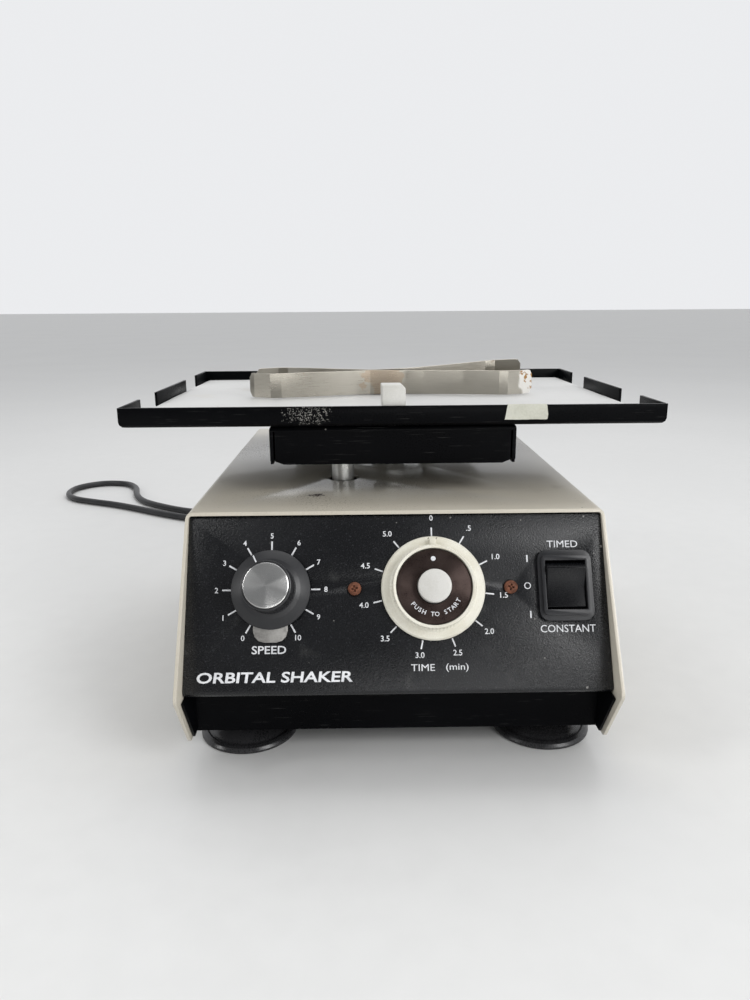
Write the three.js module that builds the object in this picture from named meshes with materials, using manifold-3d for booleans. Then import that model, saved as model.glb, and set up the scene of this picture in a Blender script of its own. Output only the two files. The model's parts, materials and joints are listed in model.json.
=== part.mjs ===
// Bench-top orbital shaker for microplates: sloped control panel, sheet-metal base,
// and a lipped platform that an eccentric carries round a small circle.
// Millimetres, +Z up, +X to the right seen from the front, front facing -Y.
// Origin: on the bench, under the middle of the base.
import * as THREE from 'three';
import { mergeVertices } from 'three/addons/utils/BufferGeometryUtils.js';
import Module from 'manifold-3d';

const wasm = await Module();
wasm.setup();

// ---------------------------------------------------------------- driving dimensions
const GAP = 0.3;                      // clearance between pieces that touch
const ROUND = 20;                     // sides of a round part
const SMALL_ROUND = 12;               // sides of a small round part
const SCREW_SIDES = 8;
const FINE_ROUND = 28;                // sides of the dials

const COVER = {
  halfWidth: 103, sheet: 1.6, bend: 3,
  bottom: 13.4, top: 122, rear: 152.5,
  frontTop: -104.2, nose: [-153.3, 46.1], frontBottom: -132.2,
};
const PANEL = { halfWidth: 101.1, sheet: 1.5, lean: 27.2, nose: [-144, 42], bend: 2.6, length: 87.1 };
const PAN = {
  bottom: 13.6, sheet: 1.2, wallTop: 41.7, flankTop: 38, lipHeight: 6.4,
  front: -123, rear: 141, halfWidth: 101.1,
};
const REAR_PANEL = { y: 143, sheet: 1.2 };
const FOOT = { x: 78, front: -98.6, rear: 111 };

const ORBIT = 1.6;                    // radius of the platform's circle
const DRIVE_Y = 25.5;                 // vertical drive axis, on the centre plane
const PLATFORM_Y = DRIVE_Y + ORBIT;   // the eccentric's own axis at rest
const IDLER_OFFSET = [-27.7, -55.5];  // front idler from the drive axis; the rear one is opposite
const DECK = { top: 111, sheet: 3, halfWidth: 66, front: -57, rear: 129 };
const SHAFT_RADIUS = 6;
const BEARING = { outer: 14, width: 8 };
const PULLEY = { driven: 33, motor: 10, flange: 3, low: 48, width: 8.6, rim: 1.6 };
const BELT_CLEARANCE = 0.8;           // the pulleys' facets turn inside the belt
const MOTOR_AT = [-30, 91];

const PLATFORM = { halfWidth: 139.5, depth: 216, low: 160, lip: 10.4, sheet: 1.5, bend: 3 };
const LIP_GAPS = [[36, 70.5], [145.5, 180]];   // open stretches of each side lip, from the front
const MAT = { inset: 2.8, thickness: 2.4 };
const DRIVE_TRAY = { halfWidth: 64.5, front: -73, rear: 127, low: 138.9, sheet: 1.5, bend: 2.5 };
const STRIP = { height: 15, sheet: 0.9 };

const KNOB_AT = [-60.5, 51.2];        // across and up the panel
const KNOB_TURN = 28;                 // degrees to the left of straight up
const TIMER_AT = [17.4, 51.2];
const TIMER_SCREWS_X = [-20.4, 54.9];
const SWITCH_AT = [81.2, 51.8];
const CORD_RADIUS = 3.4;
const CORD_EXIT = [-62, REAR_PANEL.y, 32];
const FUSE_X = -26;
const DRIVE_HOLE = 14;                // in the cover, round the crank's neck
const IDLER_HOLE = 9.5;

// ---------------------------------------------------------------- solids
/** Plain positions and indices, so that the booleans see shared corners. */
function bare(geometry) {
  const g = geometry.clone();
  g.deleteAttribute('normal');
  g.deleteAttribute('uv');
  return mergeVertices(g, 1e-4);
}

function solid(geometry) {
  const g = bare(geometry);
  return new wasm.Manifold(new wasm.Mesh({
    numProp: 3,
    vertProperties: new Float32Array(g.attributes.position.array),
    triVerts: new Uint32Array(g.index.array),
  }));
}

function geometryOf(manifold) {
  const mesh = manifold.getMesh();
  const g = new THREE.BufferGeometry();
  g.setAttribute('position', new THREE.BufferAttribute(new Float32Array(mesh.vertProperties), 3));
  g.setIndex(new THREE.BufferAttribute(new Uint32Array(mesh.triVerts), 1));
  return g;
}

const join = (...geometries) => geometryOf(geometries.map(solid).reduce((a, b) => a.add(b)));
const cut = (from, ...tools) => geometryOf(tools.map(solid).reduce((a, b) => a.subtract(b), solid(from)));
const common = (a, b) => geometryOf(solid(a).intersect(solid(b)));

function moved(geometry, x, y, z) {
  return geometry.clone().translate(x, y, z);
}

/** A box from its lowest to its highest corner. */
function block(low, high) {
  const size = high.map((h, i) => h - low[i]);
  const g = new THREE.BoxGeometry(...size);
  return g.translate(...low.map((l, i) => l + size[i] / 2));
}

/** An outline from [u, v] points; a third number rounds that corner. */
function outline(points, arcSteps = 3) {
  const path = new THREE.Shape();
  const spots = [];
  points.forEach(([u, v, r = 0], i) => {
    if (!r) {
      spots.push(new THREE.Vector2(u, v));
      return;
    }
    const before = points[(i + points.length - 1) % points.length];
    const after = points[(i + 1) % points.length];
    const here = new THREE.Vector2(u, v);
    const back = new THREE.Vector2(before[0], before[1]).sub(here).normalize();
    const on = new THREE.Vector2(after[0], after[1]).sub(here).normalize();
    const half = Math.acos(THREE.MathUtils.clamp(back.dot(on), -1, 1)) / 2;
    const away = r / Math.tan(half);
    const middle = back.clone().add(on).normalize().multiplyScalar(r / Math.sin(half)).add(here);
    const from = here.clone().addScaledVector(back, away).sub(middle).angle();
    const to = here.clone().addScaledVector(on, away).sub(middle).angle();
    let sweep = to - from;
    if (sweep > Math.PI) sweep -= 2 * Math.PI;
    if (sweep < -Math.PI) sweep += 2 * Math.PI;
    for (let k = 0; k <= arcSteps; k += 1) {
      const a = from + (sweep * k) / arcSteps;
      spots.push(new THREE.Vector2(middle.x + r * Math.cos(a), middle.y + r * Math.sin(a)));
    }
  });
  path.setFromPoints(spots);
  return path;
}

function extruded(shape, depth) {
  return new THREE.ExtrudeGeometry(shape, { depth, bevelEnabled: false, curveSegments: 6 });
}

/** Extrudes an outline of (y, z) along X. */
function alongX(shape, x0, x1) {
  const m = new THREE.Matrix4().makeBasis(
    new THREE.Vector3(0, 1, 0), new THREE.Vector3(0, 0, 1), new THREE.Vector3(1, 0, 0));
  return extruded(shape, x1 - x0).applyMatrix4(m).translate(x0, 0, 0);
}

/** Extrudes an outline of (x, z) along Y. */
function alongY(shape, y0, y1) {
  const m = new THREE.Matrix4().makeBasis(
    new THREE.Vector3(1, 0, 0), new THREE.Vector3(0, 0, 1), new THREE.Vector3(0, -1, 0));
  return extruded(shape, y1 - y0).applyMatrix4(m).translate(0, y1, 0);
}

const alongZ = (shape, z0, z1) => extruded(shape, z1 - z0).translate(0, 0, z0);

/** A turned part: a closed profile of [radius, height] spun about Z. */
function turned(profile, sides = ROUND) {
  const points = profile.map(([r, z]) => new THREE.Vector2(r, z));
  const onAxis = profile[0][0] === 0 && profile[profile.length - 1][0] === 0;
  if (!onAxis) points.push(points[0].clone());
  const g = new THREE.LatheGeometry(points, sides);
  g.rotateX(Math.PI / 2);
  return volumeOf(bare(g)) < 0 ? flipped(g) : g;
}

function volumeOf(g) {
  const p = g.attributes.position;
  const at = (i) => new THREE.Vector3().fromBufferAttribute(p, g.index.getX(i));
  let six = 0;
  for (let i = 0; i < g.index.count; i += 3) six += at(i).dot(at(i + 1).cross(at(i + 2)));
  return six;
}

function flipped(geometry) {
  const g = geometry.clone();
  const index = g.index.array;
  for (let i = 0; i < index.length; i += 3) [index[i], index[i + 1]] = [index[i + 1], index[i]];
  return g;
}

const rod = (radius, z0, z1, sides = ROUND) =>
  turned([[0, z0], [radius, z0], [radius, z1], [0, z1]], sides);

function roundedBox(halfX, halfY, radius, z0, z1) {
  return alongZ(outline([
    [-halfX, -halfY, radius], [halfX, -halfY, radius], [halfX, halfY, radius], [-halfX, halfY, radius],
  ]), z0, z1);
}

// ---------------------------------------------------------------- materials and meshes
const finish = (color, roughness, metalness) => ({ color, roughness, metalness });
const CREAM = finish('#aba89f', 0.35, 0.1);
const BLACK_TEXTURED = finish('#232428', 0.55, 0.1);
const BLACK_SHEET = finish('#101013', 0.4, 0.2);
const RUBBER = finish('#333235', 0.6, 0);
const ZINC = finish('#9fa09c', 0.35, 0.9);
const STAINLESS = finish('#a29c8d', 0.3, 1);
const STEEL = finish('#8c8d8b', 0.4, 0.9);
const CAST_ALUMINIUM = finish('#a9aaa8', 0.5, 0.8);
const RUSTY = finish('#7c4a32', 0.7, 0.5);
const BLACK_PLASTIC = finish('#222326', 0.4, 0);
const CREAM_PLASTIC = finish('#ebe9e0', 0.45, 0);
const WHITE_PLASTIC = finish('#e3e2dc', 0.5, 0);
const BRONZE = finish('#8f6b3f', 0.45, 0.9);

const root = new THREE.Group();
const panelFrame = new THREE.Group();     // x across, y up the panel, z out of it
panelFrame.position.set(0, PANEL.nose[0], PANEL.nose[1]);
panelFrame.rotation.x = Math.PI / 2 - THREE.MathUtils.degToRad(PANEL.lean);
root.add(panelFrame);
panelFrame.updateMatrixWorld(true);

function add(name, geometry, look, parent = root) {
  const mesh = new THREE.Mesh(bare(geometry), new THREE.MeshStandardMaterial(look));
  mesh.name = name;
  parent.add(mesh);
  return mesh;
}

/** Places a group on the panel, at a point across and up it. */
function onPanel([across, up]) {
  const group = new THREE.Group();
  group.position.set(across, up, 0);
  panelFrame.add(group);
  return group;
}

/** A cutting tool given in the panel's own axes, carried to the world's. */
const fromPanel = (geometry) => geometry.clone().applyMatrix4(panelFrame.matrixWorld);

// ---------------------------------------------------------------- base: cover, pan, panels
const coverSide = (inset = 0) => outline([
  [COVER.frontTop + inset, COVER.top], [COVER.nose[0] + inset, COVER.nose[1], 4],
  [COVER.frontBottom + inset, COVER.bottom, 2], [COVER.rear - inset, COVER.bottom, 3],
  [COVER.rear - inset, COVER.top],
]);

function channel(halfWidth, top, sheet, bend, bottom) {
  const inside = halfWidth - sheet;
  return outline([
    [-halfWidth, bottom], [-inside, bottom], [-inside, top - sheet, bend - sheet],
    [inside, top - sheet, bend - sheet], [inside, bottom], [halfWidth, bottom],
    [halfWidth, top, bend], [-halfWidth, top, bend],
  ]);
}

const COVER_SCREWS = [[-92, 30], [131, 30]];    // y and z on each side wall

function topCover() {
  const folded = alongY(
    channel(COVER.halfWidth, COVER.top, COVER.sheet, COVER.bend, 0), COVER.nose[0] - 5, COVER.rear + 5);
  const silhouette = alongX(coverSide(), -COVER.halfWidth - 1, COVER.halfWidth + 1);
  const holes = [
    moved(rod(DRIVE_HOLE, 115, 130), 0, DRIVE_Y, 0),
    ...idlerSpots.map(([x, y]) => moved(rod(IDLER_HOLE, 115, 130), x, y, 0)),
  ];
  const screwHoles = COVER_SCREWS.map(([y, z]) =>
    rod(2, -120, 120, 12).rotateY(Math.PI / 2).translate(0, y, z));
  return cut(common(folded, silhouette), ...holes, ...screwHoles);
}

function chassisPan() {
  const { bottom, sheet, wallTop, flankTop, lipHeight, front, rear, halfWidth } = PAN;
  const floor = block([-halfWidth, front, bottom], [halfWidth, rear, bottom + sheet]);
  const frontWall = block([-halfWidth, front, bottom], [halfWidth, front + sheet, wallTop]);
  const rearWall = block([-halfWidth, rear - sheet, bottom], [halfWidth, rear, bottom + lipHeight]);
  const flank = outline([
    [-129.8, bottom + 1], [rear, bottom], [rear, flankTop], [-110, flankTop], [-112, wallTop - 0.3],
    [-146.4, wallTop - 0.3],
  ]);
  const sides = [-1, 1].map((side) => {
    const x = side * halfWidth;
    return alongX(flank, Math.min(x, x - side * sheet), Math.max(x, x - side * sheet));
  });
  const feet = footSpots.map(([x, y]) => moved(rod(3.2, 0, 24, 12), x, y, 0));
  const screwHoles = COVER_SCREWS.map(([y, z]) =>
    rod(1.9, -120, 120, 12).rotateY(Math.PI / 2).translate(0, y, z));
  const vents = [-2, -1, 0, 1, 2].map((k) => block([k * 14 - 3, 60, 0], [k * 14 + 3, 100, 24]));
  return cut(join(floor, frontWall, rearWall, ...sides), ...feet, ...screwHoles, ...vents);
}

function frontPanel() {
  const lean = THREE.MathUtils.degToRad(PANEL.lean);
  const [noseY, noseZ] = PANEL.nose;
  const up = [Math.sin(lean), Math.cos(lean)];
  const out = [-Math.cos(lean), Math.sin(lean)];
  const s = PANEL.sheet;
  const along = (v, depth) => [noseY + up[0] * v - out[0] * depth, noseZ + up[1] * v - out[1] * depth];
  const returnEnd = PAN.front + 10;
  const insideCorner = [noseY + s * (1 + Math.sin(lean)) / Math.cos(lean), noseZ + s];
  const section = outline([
    along(PANEL.length, 0), [noseY, noseZ, PANEL.bend], [returnEnd, noseZ], [returnEnd, noseZ + s],
    [...insideCorner, PANEL.bend - s], along(PANEL.length, s),
  ]);
  const openings = [
    moved(rod(5, -6, 6, SMALL_ROUND), ...KNOB_AT, 0),
    moved(rod(7.6, -6, 6, SMALL_ROUND), ...TIMER_AT, 0),
    ...TIMER_SCREWS_X.map((x) => moved(rod(1.9, -6, 6, 12), x, TIMER_AT[1], 0)),
    moved(block([-12, -15.5, -6], [12, 15.5, 6]), ...SWITCH_AT, 0),
  ].map(fromPanel);
  return cut(alongX(section, -PANEL.halfWidth, PANEL.halfWidth), ...openings);
}

function rearPanel() {
  const { y, sheet } = REAR_PANEL;
  const plate = block([-100.8, y - sheet, PAN.bottom + 0.4], [100.8, y, 119.4]);
  const [x, , z] = CORD_EXIT;
  const cordHole = rod(7.2, -5, 5, SMALL_ROUND).rotateX(Math.PI / 2).translate(x, y, z);
  const fuseHole = rod(6.6, -5, 5, SMALL_ROUND).rotateX(Math.PI / 2).translate(FUSE_X, y, z);
  const slots = [0, 1, 2, 3, 4].map((k) => block([20 + k * 12, y - 5, 50], [24 + k * 12, y + 5, 90]));
  return cut(plate, cordHole, fuseHole, ...slots);
}

const idlerSpots = [1, -1].map((s) => [s * IDLER_OFFSET[0], DRIVE_Y + s * IDLER_OFFSET[1]]);
const footSpots = [FOOT.front, FOOT.rear].flatMap((y) => [-1, 1].map((side) => [side * FOOT.x, y]));

add('top_cover', topCover(), CREAM);
add('chassis_pan', chassisPan(), BLACK_SHEET);
add('front_panel', frontPanel(), BLACK_TEXTURED);
add('rear_panel', rearPanel(), BLACK_SHEET);

// ---------------------------------------------------------------- feet and case screws
const FOOT_PROFILE = [
  [3.1, 5.3], [19.8, 1.4], [23.2, 0], [24.6, 0], [25.4, 0.4], [25.4, 1.4], [23.6, 3.4], [20.8, 3.2],
  [19.4, 4], [11, 9.4], [9.6, 13.3], [3.1, 13.3],
];

/** A pan-head screw, its head's underside at z = 0 and its shank below. */
function screw(headRadius, headHeight, shankRadius, length) {
  return turned([
    [0, -length], [shankRadius, -length], [shankRadius, 0], [headRadius, 0],
    [headRadius, headHeight * 0.45], [headRadius * 0.6, headHeight], [0, headHeight],
  ], SCREW_SIDES);
}

const FOOT_NAMES = ['front_left', 'front_right', 'rear_left', 'rear_right'];
footSpots.forEach(([x, y], i) => {
  add(`foot_${FOOT_NAMES[i]}`, turned(FOOT_PROFILE), RUBBER).position.set(x, y, 0);
  const bolt = add(`foot_screw_${FOOT_NAMES[i]}`, screw(4.4, 1.9, 2.7, 13), ZINC);
  bolt.position.set(x, y, 4.4);
  bolt.rotation.x = Math.PI;
});

COVER_SCREWS.forEach(([y, z], i) => {
  [-1, 1].forEach((side) => {
    const name = `cover_screw_${side < 0 ? 'left' : 'right'}_${i === 0 ? 'front' : 'rear'}`;
    const bolt = add(name, screw(3.6, 2, 1.6, 6), ZINC);
    bolt.position.set(side * (COVER.halfWidth + GAP), y, z);
    bolt.rotation.y = side * Math.PI / 2;
  });
});

// ---------------------------------------------------------------- drive inside the base
function deckBridge() {
  const { top, sheet, halfWidth, front, rear } = DECK;
  const low = PAN.bottom + PAN.sheet + GAP;
  const foot = 14;
  const inside = halfWidth - sheet;
  const section = outline([
    [-halfWidth, low], [-inside + foot, low], [-inside + foot, low + sheet], [-inside, low + sheet],
    [-inside, top - sheet, 1], [inside, top - sheet, 1], [inside, low + sheet],
    [inside - foot, low + sheet], [inside - foot, low], [halfWidth, low],
    [halfWidth, top, 4], [-halfWidth, top, 4],
  ]);
  const holes = [
    moved(rod(14.6, 100, 120), 0, DRIVE_Y, 0),
    ...idlerSpots.map(([x, y]) => moved(rod(7.3, 100, 120, SMALL_ROUND), x, y, 0)),
  ];
  const windows = block([-100, -21, 38], [100, 77, 84]);
  return cut(alongY(section, front, rear), ...holes, windows);
}

const HOUSING = { flange: 28, tube: 19, low: 66, top: 107.7 };

function bearingHousing() {
  const { flange, tube: wall, low, top } = HOUSING;
  const seat = BEARING.outer + GAP;
  const deep = BEARING.width + GAP;
  return turned([
    [seat, low], [wall, low], [wall, top - 4], [flange, top - 4], [flange, top], [seat, top],
    [seat, top - deep], [11, top - deep], [11, low + deep], [seat, low + deep],
  ]);
}

/** A shielded ball bearing, as the ring that its races and shields fill. */
function ballBearing(inner, outer, z0, width) {
  return turned([[inner, z0], [outer, z0], [outer, z0 + width], [inner, z0 + width]]);
}

/** A flanged pulley with this many sides, a bore and a flat groove of these radii. */
function grooved(sides, bore, groove) {
  const { flange, low, width, rim } = PULLEY;
  return turned([
    [bore, low - rim], [groove + flange, low - rim], [groove + flange, low], [groove, low],
    [groove, low + width], [groove + flange, low + width], [groove + flange, low + width + rim],
    [bore, low + width + rim],
  ], sides);
}

/** Open flat belt round both pulleys, laid out along Y from the drive axis and then turned. */
function driveBelt() {
  const thick = 2;
  const low = PULLEY.low + GAP;
  const high = PULLEY.low + PULLEY.width - GAP;
  const [dx, dy] = [MOTOR_AT[0], MOTOR_AT[1] - DRIVE_Y];
  const apart = Math.hypot(dx, dy);
  const loop = (extra) => {
    const big = PULLEY.driven + BELT_CLEARANCE + extra;
    const little = PULLEY.motor + BELT_CLEARANCE + extra;
    const tilt = Math.asin((big - little) / apart);
    const shape = new THREE.Shape();
    shape.absarc(0, 0, big, Math.PI - tilt, 2 * Math.PI + tilt, false);
    shape.absarc(0, apart, little, tilt, Math.PI - tilt, false);
    return shape;
  };
  const band = (extra, z0, z1) => new THREE.ExtrudeGeometry(loop(extra), {
    depth: z1 - z0, bevelEnabled: false, curveSegments: 12 }).translate(0, 0, z0);
  return cut(band(thick, low, high), band(0, low - 1, high + 1)).rotateZ(Math.atan2(-dx, dy));
}

function motorBody() {
  const can = rod(27, 64, 101.5);
  const flange = roundedBox(29, 29, 8, 101.5, 107.7);
  const nose = rod(9, 61.4, 64, SMALL_ROUND);
  const shell = join(can, flange, nose);
  return cut(shell, rod(3.6, 60, 80, SMALL_ROUND)).translate(...MOTOR_AT, 0);
}

add('deck_bridge', deckBridge(), STEEL);
add('bearing_housing', bearingHousing(), CAST_ALUMINIUM).position.set(0, DRIVE_Y, 0);
[['lower', HOUSING.low], ['upper', HOUSING.top - BEARING.width]].forEach(([where, z]) => {
  const bearing = ballBearing(SHAFT_RADIUS + GAP, BEARING.outer, z, BEARING.width);
  add(`shaft_bearing_${where}`, bearing, STEEL).position.set(0, DRIVE_Y, 0);
});
add('motor_body', motorBody(), BLACK_SHEET);
add('drive_belt', driveBelt(), RUBBER).position.set(0, DRIVE_Y, 0);

const IDLER = { body: 6.5, journal: 4, pin: 3, shoulder: 113.9, top: 148, pinTop: 156 };

idlerSpots.forEach(([x, y], i) => {
  const where = i === 0 ? 'front' : 'rear';
  const bushing = turned([
    [IDLER.journal + GAP, 100], [7, 100], [7, DECK.top + GAP], [9, DECK.top + GAP],
    [9, 113.6], [IDLER.journal + GAP, 113.6],
  ], SMALL_ROUND);
  add(`idler_bushing_lower_${where}`, bushing, BRONZE).position.set(x, y, 0);
});

// ---------------------------------------------------------------- crank: shaft, pulley, head, weight
const crank = new THREE.Group();
crank.position.set(0, DRIVE_Y, 0);
root.add(crank);

function crankHead() {
  const neckAndDisc = turned([
    [0, 112.6], [10, 112.6], [10, 125], [22, 125], [22, 133], [20.5, 134.5], [0, 134.5],
  ]);
  const pin = moved(rod(5, 134, 152, SMALL_ROUND), 0, ORBIT, 0);
  return cut(join(neckAndDisc, pin), rod(SHAFT_RADIUS + GAP, 100, 124.3, SMALL_ROUND));
}

function counterweight() {
  const sector = new THREE.Shape();
  sector.absarc(0, 0, 30, Math.PI, 2 * Math.PI, false);
  sector.lineTo(8, 0);
  sector.absarc(0, 0, 8, 0, Math.PI, true);
  return new THREE.ExtrudeGeometry(sector, { depth: 9, bevelEnabled: false, curveSegments: 16 })
    .translate(0, 0, PULLEY.low - PULLEY.rim - 9 - GAP);
}

add('drive_shaft', rod(SHAFT_RADIUS, 38, 124, SMALL_ROUND), STEEL, crank);
add('driven_pulley', grooved(ROUND, SHAFT_RADIUS + GAP, PULLEY.driven), CAST_ALUMINIUM, crank);
add('crank_head', crankHead(), ZINC, crank);
add('counterweight', counterweight(), STEEL, crank);

function motorPulley() {
  const shaft = rod(3.2, 56, 78, SMALL_ROUND);
  return join(grooved(ROUND, 0.8, PULLEY.motor), shaft);
}

add('motor_pulley', motorPulley(), CAST_ALUMINIUM).position.set(...MOTOR_AT, 0);

idlerSpots.forEach(([x, y], i) => {
  const post = turned([
    [0, 94], [IDLER.journal, 94], [IDLER.journal, IDLER.shoulder], [IDLER.body, IDLER.shoulder],
    [IDLER.body, IDLER.top - 0.8], [IDLER.body - 0.8, IDLER.top], [0, IDLER.top],
  ]);
  const pin = moved(rod(IDLER.pin, IDLER.top - 1, IDLER.pinTop, SMALL_ROUND), 0, ORBIT, 0);
  add(`idler_post_${i === 0 ? 'front' : 'rear'}`, join(post, pin), ZINC).position.set(x, y, 0);
});

// ---------------------------------------------------------------- platform
const platform = new THREE.Group();
platform.position.set(0, PLATFORM_Y, 0);
root.add(platform);
const HALF_DEPTH = PLATFORM.depth / 2;

/** A shallow folded tray open at the top, its outer bottom edges rounded. */
function foldedTray(halfX, y0, y1, z0, z1, sheet, bend) {
  const shell = (inset, lift) => {
    const r = bend - inset;
    const section = (a, b) => outline([
      [a + inset, z0 + inset, r], [b - inset, z0 + inset, r],
      [b - inset, z1 + lift], [a + inset, z1 + lift],
    ]);
    return common(
      alongX(section(y0, y1), -halfX + inset, halfX - inset),
      alongY(section(-halfX, halfX), y0 + inset, y1 - inset));
  };
  return cut(shell(0, 0), shell(sheet, 1));
}

function platformTray() {
  const { halfWidth, low, lip, sheet, bend } = PLATFORM;
  const tray = foldedTray(halfWidth, -HALF_DEPTH, HALF_DEPTH, low, low + lip, sheet, bend);
  const tools = [];
  const above = low + sheet;
  [-1, 1].forEach((side) => {
    const from = side * (halfWidth - bend + 0.4);
    const to = side * (halfWidth + 1);
    LIP_GAPS.forEach(([a, b]) => tools.push(block(
      [Math.min(from, to), -HALF_DEPTH + a, low - 1],
      [Math.max(from, to), -HALF_DEPTH + b, low + lip + 1])));
    [-HALF_DEPTH + sheet, HALF_DEPTH - sheet - 1].forEach((y) => tools.push(block(
      [Math.min(from, to), y, above], [Math.max(from, to), y + 1, low + lip + 1])));
  });
  return cut(tray, ...tools);
}

function driveTray() {
  const { halfWidth, front, rear, low, sheet, bend } = DRIVE_TRAY;
  const high = PLATFORM.low - GAP;
  const y0 = front - PLATFORM_Y;
  const y1 = rear - PLATFORM_Y;
  const tray = foldedTray(halfWidth, y0, y1, -high, -low, sheet, bend).rotateY(Math.PI);
  const tools = [];
  const chamfer = 2;
  [-1, 1].forEach((side) => {
    const seam = side * (halfWidth - sheet - 0.8);
    [[y0 - 1, y0 + sheet], [y1 - sheet, y1 + 1]].forEach(([a, b]) => {
      tools.push(block([seam - 0.4, a, low - 1], [seam + 0.4, b, high - bend - 1]));
      const corner = outline([
        [side * (halfWidth + 1), low - 1], [side * (halfWidth - 7), low - 1], [side * (halfWidth - 7), low],
        [side * (halfWidth - 2), low + chamfer], [side * (halfWidth + 1), low + chamfer],
      ]);
      tools.push(alongY(corner, a, b));
    });
  });
  return cut(tray, ...tools);
}

/** A strip on edge, from the points of its centre line, each with a small bend. */
function standingStrip(points, low) {
  const t = STRIP.sheet / 2;
  const normals = points.map((p, i) => {
    const a = points[Math.max(i - 1, 0)];
    const b = points[Math.min(i + 1, points.length - 1)];
    const d = new THREE.Vector2(b[0] - a[0], b[1] - a[1]).normalize();
    return [-d.y * t, d.x * t];
  });
  const left = points.map(([x, y], i) => [x + normals[i][0], y + normals[i][1]]);
  const right = points.map(([x, y], i) => [x - normals[i][0], y - normals[i][1]]).reverse();
  return alongZ(outline([...right, ...left]), low, low + STRIP.height);
}

const MAT_TOP = PLATFORM.low + PLATFORM.sheet + GAP + MAT.thickness;
const STRIP_LOW = MAT_TOP + GAP;
const FRONT_STRIP = [
  [-86, -12.5], [-83, -15.5], [-72.5, -21], [-66, -20.5], [-40, -12], [-20, -5.4], [-11, -3.2],
  [11, -3.2], [24, -4.5], [48, -8], [70, -12.6], [75.5, -12.8], [86, -8.5], [92, -4.6],
];
const REAR_STRIP = [
  [-86, 17], [-72.5, 25.4], [-66, 25], [-40, 15.5], [-20, 7], [-11, 3.2], [11, 3.2],
  [24, 5.6], [48, 13], [66, 19], [72.5, 19.4], [88, 12],
];

/** Clamp on the platform's centre line that holds both strips back to back. */
function stripClamp() {
  const rib = block([-9, -2.4, STRIP_LOW], [9, 2.4, STRIP_LOW + 11]);
  const foot = block([-9, -2.4, MAT_TOP + GAP], [9, 2.4, MAT_TOP + 2]);
  return join(rib, foot);
}

const HUB_TOP = PLATFORM.low - GAP - DRIVE_TRAY.sheet - GAP;    // under the drive tray's web

function hub() {
  return turned([
    [0, HUB_TOP], [30, HUB_TOP], [30, 154], [18, 154], [18, 137.6], [13.3, 137.6], [13.3, 150],
    [7, 150], [7, 153], [0, 153],
  ]);
}

function spacerBlock() {
  const height = 16.2;
  const side = outline([[-6, 0], [6, 0], [6, height - 2], [4.2, height], [-6, height]]);
  return alongY(side, -6, 6);
}

add('platform_tray', platformTray(), BLACK_SHEET, platform);
add('platform_mat', roundedBox(PLATFORM.halfWidth - MAT.inset, HALF_DEPTH - MAT.inset, 2,
  PLATFORM.low + PLATFORM.sheet + GAP, MAT_TOP), WHITE_PLASTIC, platform);
add('drive_tray', driveTray(), BLACK_SHEET, platform);
add('platform_hub', hub(), CAST_ALUMINIUM, platform);
add('eccentric_bearing', ballBearing(5 + GAP, 13, 139.6, 10), STEEL, platform);
idlerSpots.forEach(([x, y], i) => {
  const cup = turned([
    [IDLER.pin + GAP, 149], [8, 149], [8, 155], [12, 155], [12, HUB_TOP], [0, HUB_TOP],
    [0, 156.6], [IDLER.pin + GAP, 156.6],
  ], SMALL_ROUND);
  const name = `idler_bushing_upper_${i === 0 ? 'front' : 'rear'}`;
  add(name, cup, BRONZE, platform).position.set(x, y - DRIVE_Y, 0);
});
add('spring_strip_front', standingStrip(FRONT_STRIP, STRIP_LOW), STAINLESS, platform);
add('spring_strip_rear', standingStrip(REAR_STRIP, STRIP_LOW), STAINLESS, platform);
add('strip_clamp', stripClamp(), STAINLESS, platform);
const spacer = add('spacer_block', spacerBlock(), WHITE_PLASTIC, platform);
spacer.position.set(0, -72.4 - PLATFORM_Y, MAT_TOP + GAP);
spacer.rotation.z = THREE.MathUtils.degToRad(3);

// ---------------------------------------------------------------- controls on the panel
function speedKnob() {
  const body = turned([
    [0, 1.4], [19, 1.4], [19, 2.6], [13.4, 5.6], [12, 6.2], [11.7, 19.6], [11, 20.4], [10.9, 20.4],
    [10.9, 19.4], [0, 19.4],
  ], FINE_ROUND);
  const spindle = rod(3, -9, 5, SMALL_ROUND);
  const bushingRecess = rod(5.6, 0, 3, SMALL_ROUND);
  return join(cut(body, bushingRecess), spindle);
}

function dialStopTab() {
  const shape = outline([[-8.25, -25, 5.5], [8.25, -25, 5.5], [8.25, 6, 3], [-8.25, 6, 3]]);
  return cut(alongZ(shape, GAP, GAP + 0.7), rod(5.2, -1, 3, SMALL_ROUND));
}

function potentiometer() {
  const can = rod(12, -16, -4, SMALL_ROUND);
  const bushing = rod(4.7, -5, 2.4, SMALL_ROUND);
  const terminals = block([-6, -18, -13], [6, -10, -11]);
  return cut(join(can, bushing, terminals), rod(3.4, -12, 6, SMALL_ROUND));
}

function timerBody() {
  const box = roundedBox(27, 27, 3, -46, -PANEL.sheet - GAP);
  const ears = block([-42, -6, -3.4], [42, 6, -PANEL.sheet - GAP]);
  const bushing = rod(7.2, -3, 1.2, SMALL_ROUND);
  const earHoles = TIMER_SCREWS_X.map((x) => rod(1.8, -8, 2, 12).translate(x - TIMER_AT[0], 0, 0));
  return cut(join(box, ears, bushing), rod(3.8, -30, 4, SMALL_ROUND), ...earHoles);
}

function timerRing() {
  const wall = turned([
    [8, 0.6], [25, 0.6], [25, 2], [24, 2.8], [20.4, 3.4], [20, 4], [20, 8.8], [19.4, 9.6], [18.2, 9.2],
    [18.2, 2.6], [8, 2.2],
  ], FINE_ROUND);
  const pointer = block([-1.6, 19, 3], [1.6, 23.4, 6.4]);
  return join(wall, pointer);
}

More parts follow.
